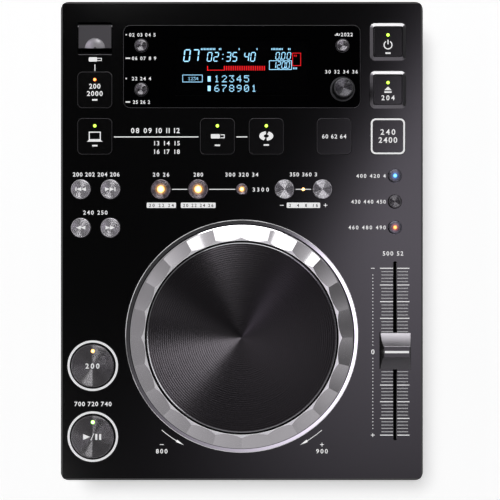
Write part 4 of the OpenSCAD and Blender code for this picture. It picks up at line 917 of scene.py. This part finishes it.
class PLAYER_OT_dial(PlayerOperator):
    """Makes the jog dial: ribbed wall, bright shoulder and hollow finger facets"""

    bl_idname = "player.dial"
    bl_label = "Jog dial"

    facets = 24
    wall_r, shoulder_r, shoulder_z = 66.8, 66.7, 8.0
    out_r, out_z, in_r, top_z = 65.7, 13.5, 59.5, 17.0
    land_r, dish = 57.3, 0.7
    low_z, plate_z = -6.0, 13.6

    def make(self, sizes):
        at = middle("jog_dial")
        self.half = math.radians(180 / self.facets)
        self.shape = Shape()
        self.wall(at, sizes)
        self.crown(at)
        made = self.shape.make(
            "dial_ring", "jog_dial", ["dial_metal", "dial_dark", "dial_bright", "pale_painted_highlight"],
            "dial_metal", (*at, DECK + self.top_z), 12.0,
        )
        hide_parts("jog_dial")

    def wall(self, at, sizes):
        """Ribbed wall below the shoulder."""
        steps = 360 * 4
        low, wall, shoulder = self.low_z, self.wall_r - 0.1, self.shoulder_r
        rows = []
        for radius, z, depth in (
            (self.wall_r - 1.5, low, 0.0), (wall, low, 0.0), (wall, 1.5, 0.0), (wall, 1.8, 1.0),
            (shoulder, self.shoulder_z - 1.6, 1.0), (shoulder - 0.1, self.shoulder_z - 1.0, 0.0),
        ):
            row = []
            for i in range(steps):
                wave = (i % 4 in (0, 1)) * depth * sizes.knurl
                row.append((*turn(FULL * i / steps, radius - wave, at), DECK + z))
            rows.append(row)
        self.shape.grid(rows, 1, True, True)

    def dip(self, side):
        """Depth of a facet's hollow at a distance beside its middle line."""
        chord = (self.in_r + self.out_r) / 2 * math.sin(self.half)
        bow = (chord ** 2 + self.dish ** 2) / (2 * self.dish)
        return self.dish - (bow - math.sqrt(bow * bow - side * side))

    def crown(self, at):
        """Shoulder bead, facets, flat land and the recess for the plate."""
        half, edge_r, edge_z = self.half, self.shoulder_r, self.shoulder_z
        fall = (self.top_z - self.out_z) / (self.out_r - self.in_r)
        cosine = 1 / math.sqrt(1 + fall * fall)
        start = self.in_r * math.cos(half)
        steep = (self.out_z - edge_z) / (edge_r - self.out_r)

        def facet(radius, angle):
            return (self.top_z - fall * (radius * math.cos(angle) - start)
                    - self.dip(radius * math.sin(angle)) / cosine)

        each = 24
        columns = []
        for i in range(self.facets * each):
            angle = -half + 2 * half * (i % each) / each
            outer = self.out_r
            for _ in range(4):
                wall = self.out_z - steep * (outer - self.out_r)
                outer += (wall - facet(outer, angle)) / (steep - fall) * 0.9
            inner = self.in_r
            for _ in range(6):
                inner += (facet(inner, angle) - self.top_z) / fall
            inner = max(inner, self.land_r + 0.25)
            column = [(edge_r + dr, edge_z + dz)
                      for dr, dz in ((-0.1, -1.0), (0.1, -0.6), (-0.1, -0.1), (-0.5, 0.05))]
            for share in (0.0, 0.25, 0.5, 0.75):
                r = outer + (inner - outer) * share
                column.append((r, facet(r, angle)))
            column += [(inner, self.top_z), (self.land_r + 0.15, self.top_z),
                       (self.land_r, self.top_z - 0.15), (self.land_r, self.plate_z)]
            turned = math.degrees(angle + half) + i // each * FULL / self.facets
            columns.append([(*turn(turned, r, at), DECK + z) for r, z in column])
        rows = list(zip(*columns))
        # The flat land round the plate (slot 3) is in a painted highlight.
        for first, last, slot in ((0, 4, 2), (3, 5, 1), (4, 9, 0), (8, 11, 3), (10, 12, 1)):
            self.shape.grid(rows[first:last], slot, True, True)


class PLAYER_OT_plate(PlayerOperator):
    """Makes the dial's top plate with its fine turned rings"""

    bl_idname = "player.plate"
    bl_label = "Dial plate"

    def make(self, sizes):
        low, high = low_high("jog_plate")
        at = middle("jog_plate")
        radius = (high.x - low.x) / 2
        chamfer, drop = 0.8, 0.6
        flat = radius - chamfer
        face_r = flat - 0.25
        edge = [(radius, low.z), (radius, high.z - drop - 0.1), (radius - 0.1, high.z - drop),
                (flat + 0.15, high.z - 0.06), (flat, high.z - 0.03), (face_r, high.z)]
        samples, steps = 6, 288
        count = int(flat / sizes.groove * samples)
        face = [edge[-1]]
        for i in range(1, count + 1):
            wave = 0.5 - 0.5 * math.cos(math.tau * i / samples)
            face.append((face_r * (1 - i / count), high.z - sizes.groove_depth * wave))
        shape = Shape()
        shape.lathe(edge, steps, at, 1)
        shape.lathe(face, steps, at)
        made = shape.make("dial_plate", "jog_plate", ["plate_disc", "plate_edge"], "plate_disc",
                          (*at, high.z), 50.0)
        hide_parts("jog_plate")


class PLAYER_OT_fader(PlayerOperator):
    """Finishes the tempo fader, with its line and the dust strips in its slot"""

    bl_idname = "player.fader"
    bl_label = "Tempo fader"

    def make(self, sizes):
        dress("fader_cap", "fader_plastic", 0.35)
        steep, flat = 0.2, 0.985
        # Grey metal on the cap's rear-facing slopes; a darker, dull finish on its front-facing
        # slopes, which is painted shade.
        for finish, way_y in (("fader_metal", 1), ("fader_front_painted_shade", -1)):
            paint("fader_cap", finish,
                  lambda at, way: steep < way.z < flat and way_y * way.y > abs(way.x))
        x, y, high = face_of("fader_cap")
        reach, thick = 7.2, 1.3
        mark = Shape(high - SUNK, high + INK)
        mark.bar((x - reach, y), (x + reach, y), thick)
        mark.make("fader_line", "tempo_fader", ["ink"], "fader_plastic", (x, y, high))
        strip = Shape(DECK - 2.4, DECK - 1.9)
        slot_x, slot_y = middle("fader_track")
        half, gap, side, thin, wide = 53.0, 12.0, 1.3, 0.1, 0.42
        for way in (1, -1):
            near, far = slot_y + way * gap, slot_y + way * half
            for hand in (1, -1):
                wall = slot_x - hand * side
                outline = [(wall, near), (wall + hand * thin, near), (wall + hand * wide, far),
                           (wall, far)]
                strip.prism(outline[::way * hand])
        strip.make("fader_dust_strips", CASE, ["dust_strip"], None, (slot_x, slot_y, DECK))


class PLAYER_OT_knob(PlayerOperator):
    """Makes the select knob with its fine ribs"""

    bl_idname = "player.knob"
    bl_label = "Select knob"

    def make(self, sizes):
        low, high = low_high("select_knob")
        at = middle("select_knob")
        foot = (high.x - low.x) / 2
        grip = foot - 1.0
        steps, shaft, depth = 64 * 4, 5.0, 0.12

        def rib(angle, radius, z):
            ribbed = low.z + 1.5 < z < high.z - 1.0 and radius > shaft
            return -depth if ribbed and int(angle / FULL * steps) % 4 in (0, 1) else 0.0

        side = [(3.1, low.z), (foot - 0.15, low.z), (foot, low.z + 0.2), (foot, low.z + 0.7),
                (foot - 0.3, low.z + 1.0), (grip + 0.1, low.z + 1.4), (grip, low.z + 1.8)]
        side += [(grip - inward, high.z - down)
                 for inward, down in ((0.3, 1.4), (0.45, 0.9), (0.8, 0.35), (1.1, 0.1))]
        rim, edge, dish = grip - 1.6, 0.05, 0.25
        face = [side[-1], (grip - 1.3, high.z), (rim, high.z - edge)]
        for share in (0.7, 0.5, 0.25, 0.0):
            face.append((rim * share, high.z - edge - dish * (1 - share * share)))
        shape = Shape()
        shape.lathe(side, steps, at, 1, rib)
        shape.lathe(face, steps, at)
        made = shape.make("knob_cap", "select_knob", ["knob_top", "knob_plastic"],
                          "knob_plastic", (*at, high.z), 28.0)
        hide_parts("select_knob")


class PLAYER_OT_port(PlayerOperator):
    """Finishes the stick port's door"""

    bl_idname = "player.port"
    bl_label = "Port door"

    def make(self, sizes):
        # The door's rounded edges are in a lighter finish, a painted edge highlight. Its finger
        # scoop is in a pale metal, a painted highlight, with painted shade on its faces that face
        # the rear.
        dress("usb_door", "door_plastic", 0.12, "door_rim_painted_highlight")
        face = top("usb_door") - 0.02
        deep, hollow, flat, side, steep = 1.1, 0.5, 0.9995, 0.15, 0.2
        paint("usb_door", "door_dish_painted_highlight",
              lambda at, way: hollow < way.z < flat and face - deep < at.z < face)
        paint("usb_door", "dark_painted_shade", lambda at, way: way.y > side and way.z > steep)
        # Thin pale bar on the deck at the front edge of the door's opening: a painted edge
        # highlight.
        x, y, reach, thick = middle("usb_door")[0], 108.1, 10.0, 0.35
        lip = Shape(DECK - SUNK, DECK + INK)
        lip.bar((x - reach, y), (x + reach, y), thick)
        lip.make("door_lip_painted_highlight", CASE, ["edge_painted_highlight"], "case_plastic", (x, y, DECK))


SEGMENTS = {
    "0": "abcdef", "1": "bc", "2": "abged", "3": "abgcd", "4": "fgbc", "5": "afgcd",
    "6": "afgedc", "7": "abc", "8": "abcdefg", "9": "abcdfg",
}
DOTS = {  # each row of a figure, five dots wide, as a binary number
    "0": (14, 17, 19, 21, 25, 17, 14), "1": (4, 12, 4, 4, 4, 4, 14),
    "2": (14, 17, 1, 2, 4, 8, 31), "3": (31, 2, 4, 2, 1, 17, 14),
    "4": (2, 6, 10, 18, 31, 2, 2), "5": (31, 16, 30, 1, 1, 17, 14),
    "6": (6, 8, 16, 30, 17, 17, 14), "7": (31, 1, 2, 4, 8, 8, 8),
    "8": (14, 17, 17, 14, 17, 17, 14), "9": (14, 17, 17, 15, 1, 2, 12),
}


class PLAYER_OT_display(PlayerOperator):
    """Makes the smoked window and the lit display below it"""

    bl_idname = "player.display"
    bl_label = "Display"

    slant, gap = 0.12, 0.02

    def make(self, sizes):
        # The window's rounded edges are in a lighter finish: a painted edge highlight.
        dress("display_window", "window", 0.16, "edge_painted_highlight")
        floor = top("display_module")
        self.shape = Shape(floor - self.gap, floor + INK)
        self.at = middle("display_window")
        for text, x, y, width, height, pitch in (
            ("07", -35.1, 3.4, 3.3, 6.9, 5.2), ("02", -21.0, 3.5, 2.5, 5.2, 3.95),
            ("35", -9.6, 3.5, 2.5, 5.2, 3.75), ("40", 1.3, 3.5, 2.5, 5.2, 3.8),
            ("000", 20.3, 4.7, 2.0, 4.0, 3.4), ("1200", 18.4, -0.8, 1.8, 3.9, 2.75),
        ):
            for i, sign in enumerate(text):
                self.figure(sign, x + i * pitch, y, width, height)
        for x, y in ((-11.9, 4.6), (-11.6, 7.2), (23.0, 4.4), (25.9, -0.9)):
            self.block(x, y, 0.6, 0.6)
        for x, y, width, slot in (
            (-24.6, 10.2, 9.0, 0), (-13.8, 10.2, 2.4, 0), (-1.9, 10.2, 0.9, 0),
            (8.9, 10.2, 0.9, 0), (17.8, 10.2, 7.4, 0), (27.9, 10.2, 1.8, 0),
            (31.6, 6.2, 2.4, 1), (30.9, -1.4, 3.4, 0),
        ):
            self.dashes(x, y, width, slot)
        for box in ((16.4, -1.7, 13.7, 5.6, 0.32, 0), (30.4, 0.6, 5.2, 7.9, 0.34, 1),
                    (-35.8, -9.2, 12.1, 4.5, 0.28, 0)):
            self.frame_box(*box)
        self.tempo_bar()
        self.dot_figures("1234", -32.4, -8.0, 0.28, 1.6)
        for row, text in ((-9.2, "12345"), (-14.9, "678901")):
            self.block(-20.6, row + 0.4, 1.8, 3.2)
            self.dot_figures(text, -16.5, row, 0.60, 4.47)
        self.shape.make("display_lights", CASE, ["digit_light", "red_light"], "display_glass",
                        (*self.at, floor))

    def dashes(self, x, y, width, slot):
        """Row of tiny upright dashes, where the display has small signs."""
        pitch, thick, height = 0.9, 0.45, 1.1
        for i in range(max(1, int(width / pitch))):
            self.block(x + i * pitch, y, thick, height, slot)

    def block(self, x, y, width, height, slot=0):
        x, y = x + self.at[0], y + self.at[1]
        self.shape.prism([(x, y), (x + width, y), (x + width, y + height), (x, y + height)], slot)

    def frame_box(self, x, y, width, height, line, slot):
        for bar in ((x, y, width, line), (x, y + height - line, width, line),
                    (x, y + line, line, height - 2 * line),
                    (x + width - line, y + line, line, height - 2 * line)):
            self.block(*bar, slot)

    def tempo_bar(self):
        """Red bar: an open start, then filled ticks."""
        x0, y0, height, line, end = -20.9, -2.1, 2.7, 0.35, 0.5
        pitch, thick, ticks, start = 1.337, 0.66, 19, -10.85
        self.block(x0, y0, start - x0, line, 1)
        self.block(x0, y0, end, height, 1)
        for i in range(ticks):
            self.block(start + i * pitch, y0, thick, height, 1)

    def figure(self, sign, x, y, width, height):
        """Seven-segment figure, leaning to the right."""
        thick, half = height * 0.10, height / 2
        x, y = x + self.at[0], y + self.at[1]
        places = {
            "a": (0, height, width, height), "g": (0, half, width, half), "d": (0, 0, width, 0),
            "b": (width, half, width, height), "c": (width, 0, width, half),
            "e": (0, 0, 0, half), "f": (0, half, 0, height),
        }
        for name in SEGMENTS[sign]:
            a, b = Vector(places[name][:2]), Vector(places[name][2:])
            along = (b - a).normalized() * thick
            point, side = along * 0.5, Vector((-along.y, along.x)) * 0.5
            a, b = a + along * 0.75, b - along * 0.75
            outline = (a - point, a - side, b - side, b + point, b + side, a + side)
            self.shape.prism([(x + p.x + self.slant * p.y, y + p.y) for p in outline])

    def dot_figures(self, text, x, y, pitch, step):
        """Row of figures made of dots, five dots wide and seven high."""
        dot = pitch * 0.8
        for i, sign in enumerate(text):
            for row, bits in enumerate(DOTS[sign]):
                for column in range(5):
                    if bits >> (4 - column) & 1:
                        self.block(x + i * step + column * pitch, y + (6 - row) * pitch, dot, dot)


class PLAYER_OT_prints(PlayerOperator):
    """Prints the deck's lines, scale and figures, and its small lamp"""

    bl_idname = "player.prints"
    bl_label = "Deck prints"

    def make(self, sizes):
        self.shape = Shape(DECK - SUNK, DECK + INK)
        self.lines(sizes.line)
        self.labels()
        self.badges()
        self.scale()
        self.arrows()
        self.shape.make("deck_prints", CASE, ["ink", "ink_black", "lamp_amber", "ink_grey"], None,
                        (0.0, 0.0, DECK))
        self.window_prints()
        self.lock_ring()

    def lines(self, thin):
        """Lines between the buttons, and the small lamp between the beat buttons."""
        line = self.shape.bar
        pc, usb, disc = (middle(node) for node in SOURCE_KEYS)
        reach, y, thick = 11.4, pc[1] - 0.3, 0.6
        for left, right in ((pc, usb), (usb, disc)):
            line((left[0] + reach, y), (right[0] - reach, y), thick)
        port, near, far, thick = middle("usb_door")[0], 98.2, 102.2, 0.5
        line((port, near), (port, far), thick)
        ins, outs, loop = (middle(node) for node in LIT_ROUNDS)
        minus, plus = middle("beat_minus_button"), middle("beat_plus_button")
        for left, near, right, far in ((ins, 6.6, outs, 6.6), (outs, 6.6, loop, 4.0),
                                       (minus, 6.7, plus, 6.7)):
            y = minus[1] if left is minus else ins[1]
            line((left[0] + near, y), (right[0] - far, y), thin)
        radius, rise = 1.0, 0.3
        self.shape.lens(((minus[0] + plus[0]) / 2, minus[1]), radius, DECK + INK, rise, 2)

    def labels(self):
        """Figures on the deck, and the stick mark below the port."""
        text = self.shape.figures
        port_y = 105.2
        self.shape.marks(PORT_MARK, (middle("usb_door")[0], port_y))
        for label in DECK_TEXTS:
            text(*label)
        loop_y, height = 36.0, 2.4
        for node, (figures, width) in LOOP_TEXTS.items():
            text(figures, (middle(node)[0], loop_y), height, width)
        beside, height = 5.4, 2.3
        for node, (figures, width) in MODE_TEXTS.items():
            x, y = middle(node)
            text(figures, (x - beside, y), height, width, share=1.0)

    def badges(self):
        """Pale plates with dark figures, and the signs beside them."""
        y, deep, corner, margin, height, proud = 17.5, 3.2, 0.5, 2.6, 2.0, 0.02
        for left, right, figures in BADGES:
            at, wide = ((left + right) / 2, y), right - left
            self.shape.prism(rounded(wide, deep, corner, at))
            self.shape.figures(figures, at, height, wide - margin, 1,
                               heights=(DECK, DECK + INK + proud))
        for way, x in ((-1, 24.0), (1, 50.3)):
            self.sign(way, x, y)

    def sign(self, way, x, y):
        """Minus or plus sign."""
        half, width = 1.15, 0.4
        self.shape.bar((x - half, y), (x + half, y), width)
        if way > 0:
            self.shape.bar((x, y - half), (x, y + half), width)

    def scale(self):
        """Tempo scale beside the fader's slot."""
        x, y = middle("fader_track")
        nearer, beside = 0.55, 13.4
        y, signs = y - nearer, x - beside
        half, slot, steps, fives, dot, thick = 50.15, 1.25, 25, 5, 0.28, 0.52
        long_line = (-9.07, 8.62, 0.55, 0)  # left end, right end, width, slot
        short_line = (-8.25, 7.78, 0.5, 3)
        for i in range(-steps, steps + 1):
            at = y + i * half / steps
            left, right, width, finish = short_line if i % fives else long_line
            for a, b in ((left, -slot), (slot, right)):
                self.shape.bar((x + a, at), (x + b, at), width, finish)
            if 1 < abs(i) < steps - 1:
                self.shape.bar((signs - dot, at), (signs + dot, at), thick)
        self.shape.figures("0", (signs, y), 3.0, 3.0)
        for way in (-1, 1):
            self.sign(way, signs, y - way * half)

    def arrows(self):
        """Turning arrows and signs in front of the dial."""
        at = middle("jog_dial")
        radius, near, far, head, line, wide = 74.2, 28.0, 40.4, 4.0, 0.2, 0.8
        sign_x, sign_y = 48.2, -126.4
        sweep = far - near - head / 2
        for side, first in ((-1, 180 + near + head / 2), (1, 180 - far)):
            self.shape.arc(at, radius - line, radius + line, first, sweep, 12)
            tip = Vector(turn(180 - side * near, radius, at))
            base = Vector(turn(180 - side * (near + head), radius, at))
            along = (tip - base).normalized()
            across = Vector((-along.y, along.x)) * wide
            self.shape.prism([base - across, tip, base + across])
            self.sign(side, side * sign_x, sign_y)

    def window_prints(self):
        """Small marks on the display window."""
        glass = top("display_window")
        shape = Shape(glass - SUNK, glass + INK)
        edge, thick, height = -9.4, 0.8, 2.1
        for node, rows in WINDOW_TEXTS.items():
            for dy, (start, text, width, dash) in zip((6.5, -7.6), rows):
                shape.marks([("bar", (edge, dy), (edge + dash, dy), thick)], middle(node))
                x, y = middle(node)
                shape.figures(text, (x + start, y + dy), height, width, share=0.0)
        shape.marks(BACK_MARKS, middle("back_button"))
        x, y = middle("select_knob")
        shape.figures("30 32 34 36", (x - 0.6, y + 10.6), height, 19.5)
        shape.make("window_prints", CASE, ["ink"], None, (x, y, glass))

    def lock_ring(self):
        """Bright ring around the tempo lock key."""
        node = "bpm_lock_button"
        x, y, high = face_of(node)
        shape = Shape(high - SUNK, high + INK)
        low, up = shape.heights
        wide, deep, corner, thick, tighter = 20.5, 21.5, 2.9, 1.0, 0.8
        outer = rounded(wide, deep, corner, (x, y))
        inner = rounded(wide - 2 * thick, deep - 2 * thick, corner - tighter, (x, y))
        shape.grid([[(*point, z) for point in outline] for outline, z in (
            (inner, low), (outer, low), (outer, up), (inner, up), (inner, low))])
        shape.make("lock_ring", node, ["ink"], "key_plastic", (x, y, high))


class PLAYER_OT_stage(PlayerOperator):
    """Sets the pale floor, the soft lights and the camera"""

    bl_idname = "player.stage"
    bl_label = "Stage"

    tone = (1.0, 0.99, 1.0)

    def make(self, sizes):
        scene = bpy.context.scene
        light = scene.player_light
        self.floor(light)
        self.lamp(light)
        self.back_card(light)
        for name, at, size, towards, strength in (
            ("card_corner", (-0.37, -0.29, 1.00), (0.34, 0.20), (0.0, -0.06, 0.10), light.corner),
            ("card_left", (-0.60, 0.12, 0.95), (0.20, 0.20), (0.0, 0.0, 0.10), light.side),
        ):
            glow = Finish(name, Emission_Color=(*self.tone, 1.0), Emission_Strength=strength)
            self.card(glow, at, size, towards)
        self.glow_card(light)
        self.wall(light)
        self.high_wall(light)
        scene.world = bpy.data.worlds.new("room")
        scene.world.use_nodes = True
        room = scene.world.node_tree.nodes["Background"].inputs
        room[0].default_value = (0.98, 0.98, 1.0, 1.0)
        room[1].default_value = light.room
        scene.view_settings.view_transform = "Standard"
        self.camera()

    def sheet(self, finish, points, faces):
        """Bare mesh of points in metres, in one finish."""
        mesh = bpy.data.meshes.new(finish.name)
        mesh.from_pydata(points, [], faces)
        mesh.materials.append(finish.material)
        return mesh

    def floor(self, light):
        pale = Finish("floor", base=(0.9, 0.9, 0.9), Emission_Strength=light.floor)
        pale.grain(0.9, 0.02, 40.0)
        reach, cells = 6.0, 24
        step, row = 2 * reach / cells, cells + 1
        points = [(-reach + i * step, -reach + j * step, 0.0)
                  for j in range(row) for i in range(row)]
        corners = [j * row + i for j in range(cells) for i in range(cells)]
        faces = [(k, k + 1, k + row + 1, k + row) for k in corners]
        put("floor", self.sheet(pale, points, faces))

    def lamp(self, light):
        data = bpy.data.lights.new("key_lamp", "AREA")
        data.energy = light.key
        data.size = 0.51
        lamp = put("key_lamp", data, (-0.283, 0.405, 3.0))
        aim(lamp, ORIGIN)
        lamp.visible_glossy = False
        lamp.visible_camera = False

    def card(self, glow, at, size, towards=None):
        """A glowing card that only glossy surfaces see."""
        w, h = size[0] / 2, size[1] / 2
        corners = [(-w, -h, 0), (w, -h, 0), (w, h, 0), (-w, h, 0)]
        hung = self.hang(glow, corners, [(3, 2, 1, 0)], at)
        if towards:
            aim(hung, towards)

    def hang(self, glow, points, faces, at):
        """Puts a card in its place, where only glossy surfaces see it."""
        card = put(glow.name, self.sheet(glow, points, faces), at)
        card.visible_camera = False
        card.visible_diffuse = False
        card.visible_shadow = False
        card.visible_transmission = False
        return card

    def back_card(self, light):
        """Soft box behind the player: dimmer at its foot and fading at its right end."""
        glow = Finish("card_back", Emission_Strength=light.back)
        across, height, _ = glow.split()
        low = light.back_low / light.back
        foot, foot_fade, right, right_fade = 0.09, 0.12, 0.35, 0.22
        level = glow.share((height + foot) / foot_fade) * (1.0 - low) + low
        end = glow.share((across + right) / right_fade)
        glow.feed("Emission Color", glow.mix(level * end, BLACK, self.tone))
        self.card(glow, (0.158, 0.4085, 0.37), (0.675, 0.50), (0.658, -0.4585, 0.37))

    def glow_card(self, light):
        """Soft glow high above: the deck mirrors it at the right and black at the left."""
        glow = Finish("card_above", Emission_Strength=light.above)
        per_metre, soft, wider, taller, most = 495.0, 9.0, 0.15, 0.0041, 1.165
        x, y = (part * per_metre for part in glow.split()[:2])
        border = glow.math("MAXIMUM", y * 0.53 + 53.0, y * 0.1 + 20.0)  # two slanting lines
        fade = glow.math("MAXIMUM", soft - y * wider, soft)
        rise = glow.math("EXPONENT", (border - x) / fade)
        share = glow.math("MINIMUM", y * taller + 1.0, most) / (rise + 1.0)
        glow.feed("Emission Color", glow.mix(share, BLACK, (0.93, 0.85, 1.0)))
        self.card(glow, (0.0, 0.0, 1.06), (0.56, 0.68))

    def towards(self, glow, angle, power):
        """How much a place on a round wall lies towards an angle, from 0 to 1."""
        x, y, _ = glow.split()
        toward_x, toward_y = turn(angle, 1.0)
        share = (x * toward_x + y * toward_y) / glow.math("SQRT", x * x + y * y)
        return glow.math("MAXIMUM", share, 0.0) ** power

    def round_wall(self, glow, level, low, high):
        """Round wall that glows by its level, around the studio."""
        glow.feed("Emission Color", glow.mix(level / 2.0, BLACK, (1.0, 0.97, 1.0)))
        radius, steps = 0.8, 48
        ring = [turn(FULL * i / steps, radius) for i in range(steps)]
        faces = [(i, (i + 1) % steps, steps + (i + 1) % steps, steps + i) for i in range(steps)]
        self.hang(glow, [(*p, z) for z in (low, high) for p in ring], faces, (0.0, -0.06, 0.0))

    def wall(self, light):
        """Dim round wall: darkest at the right, brightest in front and behind."""
        glow = Finish("card_wall", Emission_Strength=2.0 * light.wall)
        level = 0.25
        for angle, power, weight in ((165.0, 2.0, 0.15), (0.0, 3.0, 0.4), (85.0, 5.0, -0.17)):
            level = self.towards(glow, angle, power) * weight + level
        height, fade = 0.34, 0.10
        foot = glow.share((height - glow.split()[2]) / fade)
        self.round_wall(glow, level + foot * (light.foot - level), 0.05, 1.05)

    def high_wall(self, light):
        """Dim band far above that wall, brightest at the front right, for the dial's plate."""
        glow = Finish("card_high", Emission_Strength=2.0 * light.wall)
        self.round_wall(glow, self.towards(glow, 145.0, 0.7) * 0.85 + 0.15, 1.5, 2.0)

    def camera(self):
        data = bpy.data.cameras.new("camera")
        data.sensor_width = 36.0
        data.lens = 113.75
        bpy.context.scene.camera = put("camera", data, (0.0049, -0.0094, 1.0405))


def aim(thing, target):
    """Turns a lamp or card so that it faces a point."""
    way = Vector(target) - Vector(thing.location)
    thing.rotation_euler = way.to_track_quat("-Z", "Y").to_euler()


class PLAYER_PT_panel(bpy.types.Panel):
    """Sidebar panel with the sizes, colours, lights and pieces."""

    bl_idname = "PLAYER_PT_panel"
    bl_label = "Disc player"
    bl_space_type = "VIEW_3D"
    bl_region_type = "UI"
    bl_category = "Player"

    def draw(self, context):
        for name in GROUPS:
            group = getattr(context.scene, name)
            box = self.layout.box()
            for setting in group.__annotations__:
                box.prop(group, setting)
        for piece in PIECES:
            self.layout.operator(piece.bl_idname)


GROUPS = {
    "player_sizes": PlayerSizes,
    "player_colours": PlayerColours,
    "player_light": PlayerLight,
}
PIECES = [
    PLAYER_OT_case, PLAYER_OT_inside, PLAYER_OT_keys, PLAYER_OT_buttons, PLAYER_OT_transport,
    PLAYER_OT_dial, PLAYER_OT_plate, PLAYER_OT_fader, PLAYER_OT_knob, PLAYER_OT_port,
    PLAYER_OT_display, PLAYER_OT_prints, PLAYER_OT_stage,
]


def register():
    for kind in (*GROUPS.values(), *PIECES, PLAYER_PT_panel):
        bpy.utils.register_class(kind)
    for name, group in GROUPS.items():
        setattr(bpy.types.Scene, name, bpy.props.PointerProperty(type=group))


def unregister():
    for name in GROUPS:
        delattr(bpy.types.Scene, name)
    for kind in (PLAYER_PT_panel, *reversed(PIECES), *GROUPS.values()):
        bpy.utils.unregister_class(kind)


def main():
    register()
    for piece in PIECES:
        family, name = piece.bl_idname.split(".")
        getattr(getattr(bpy.ops, family), name)()


if __name__ == "__main__":
    main()
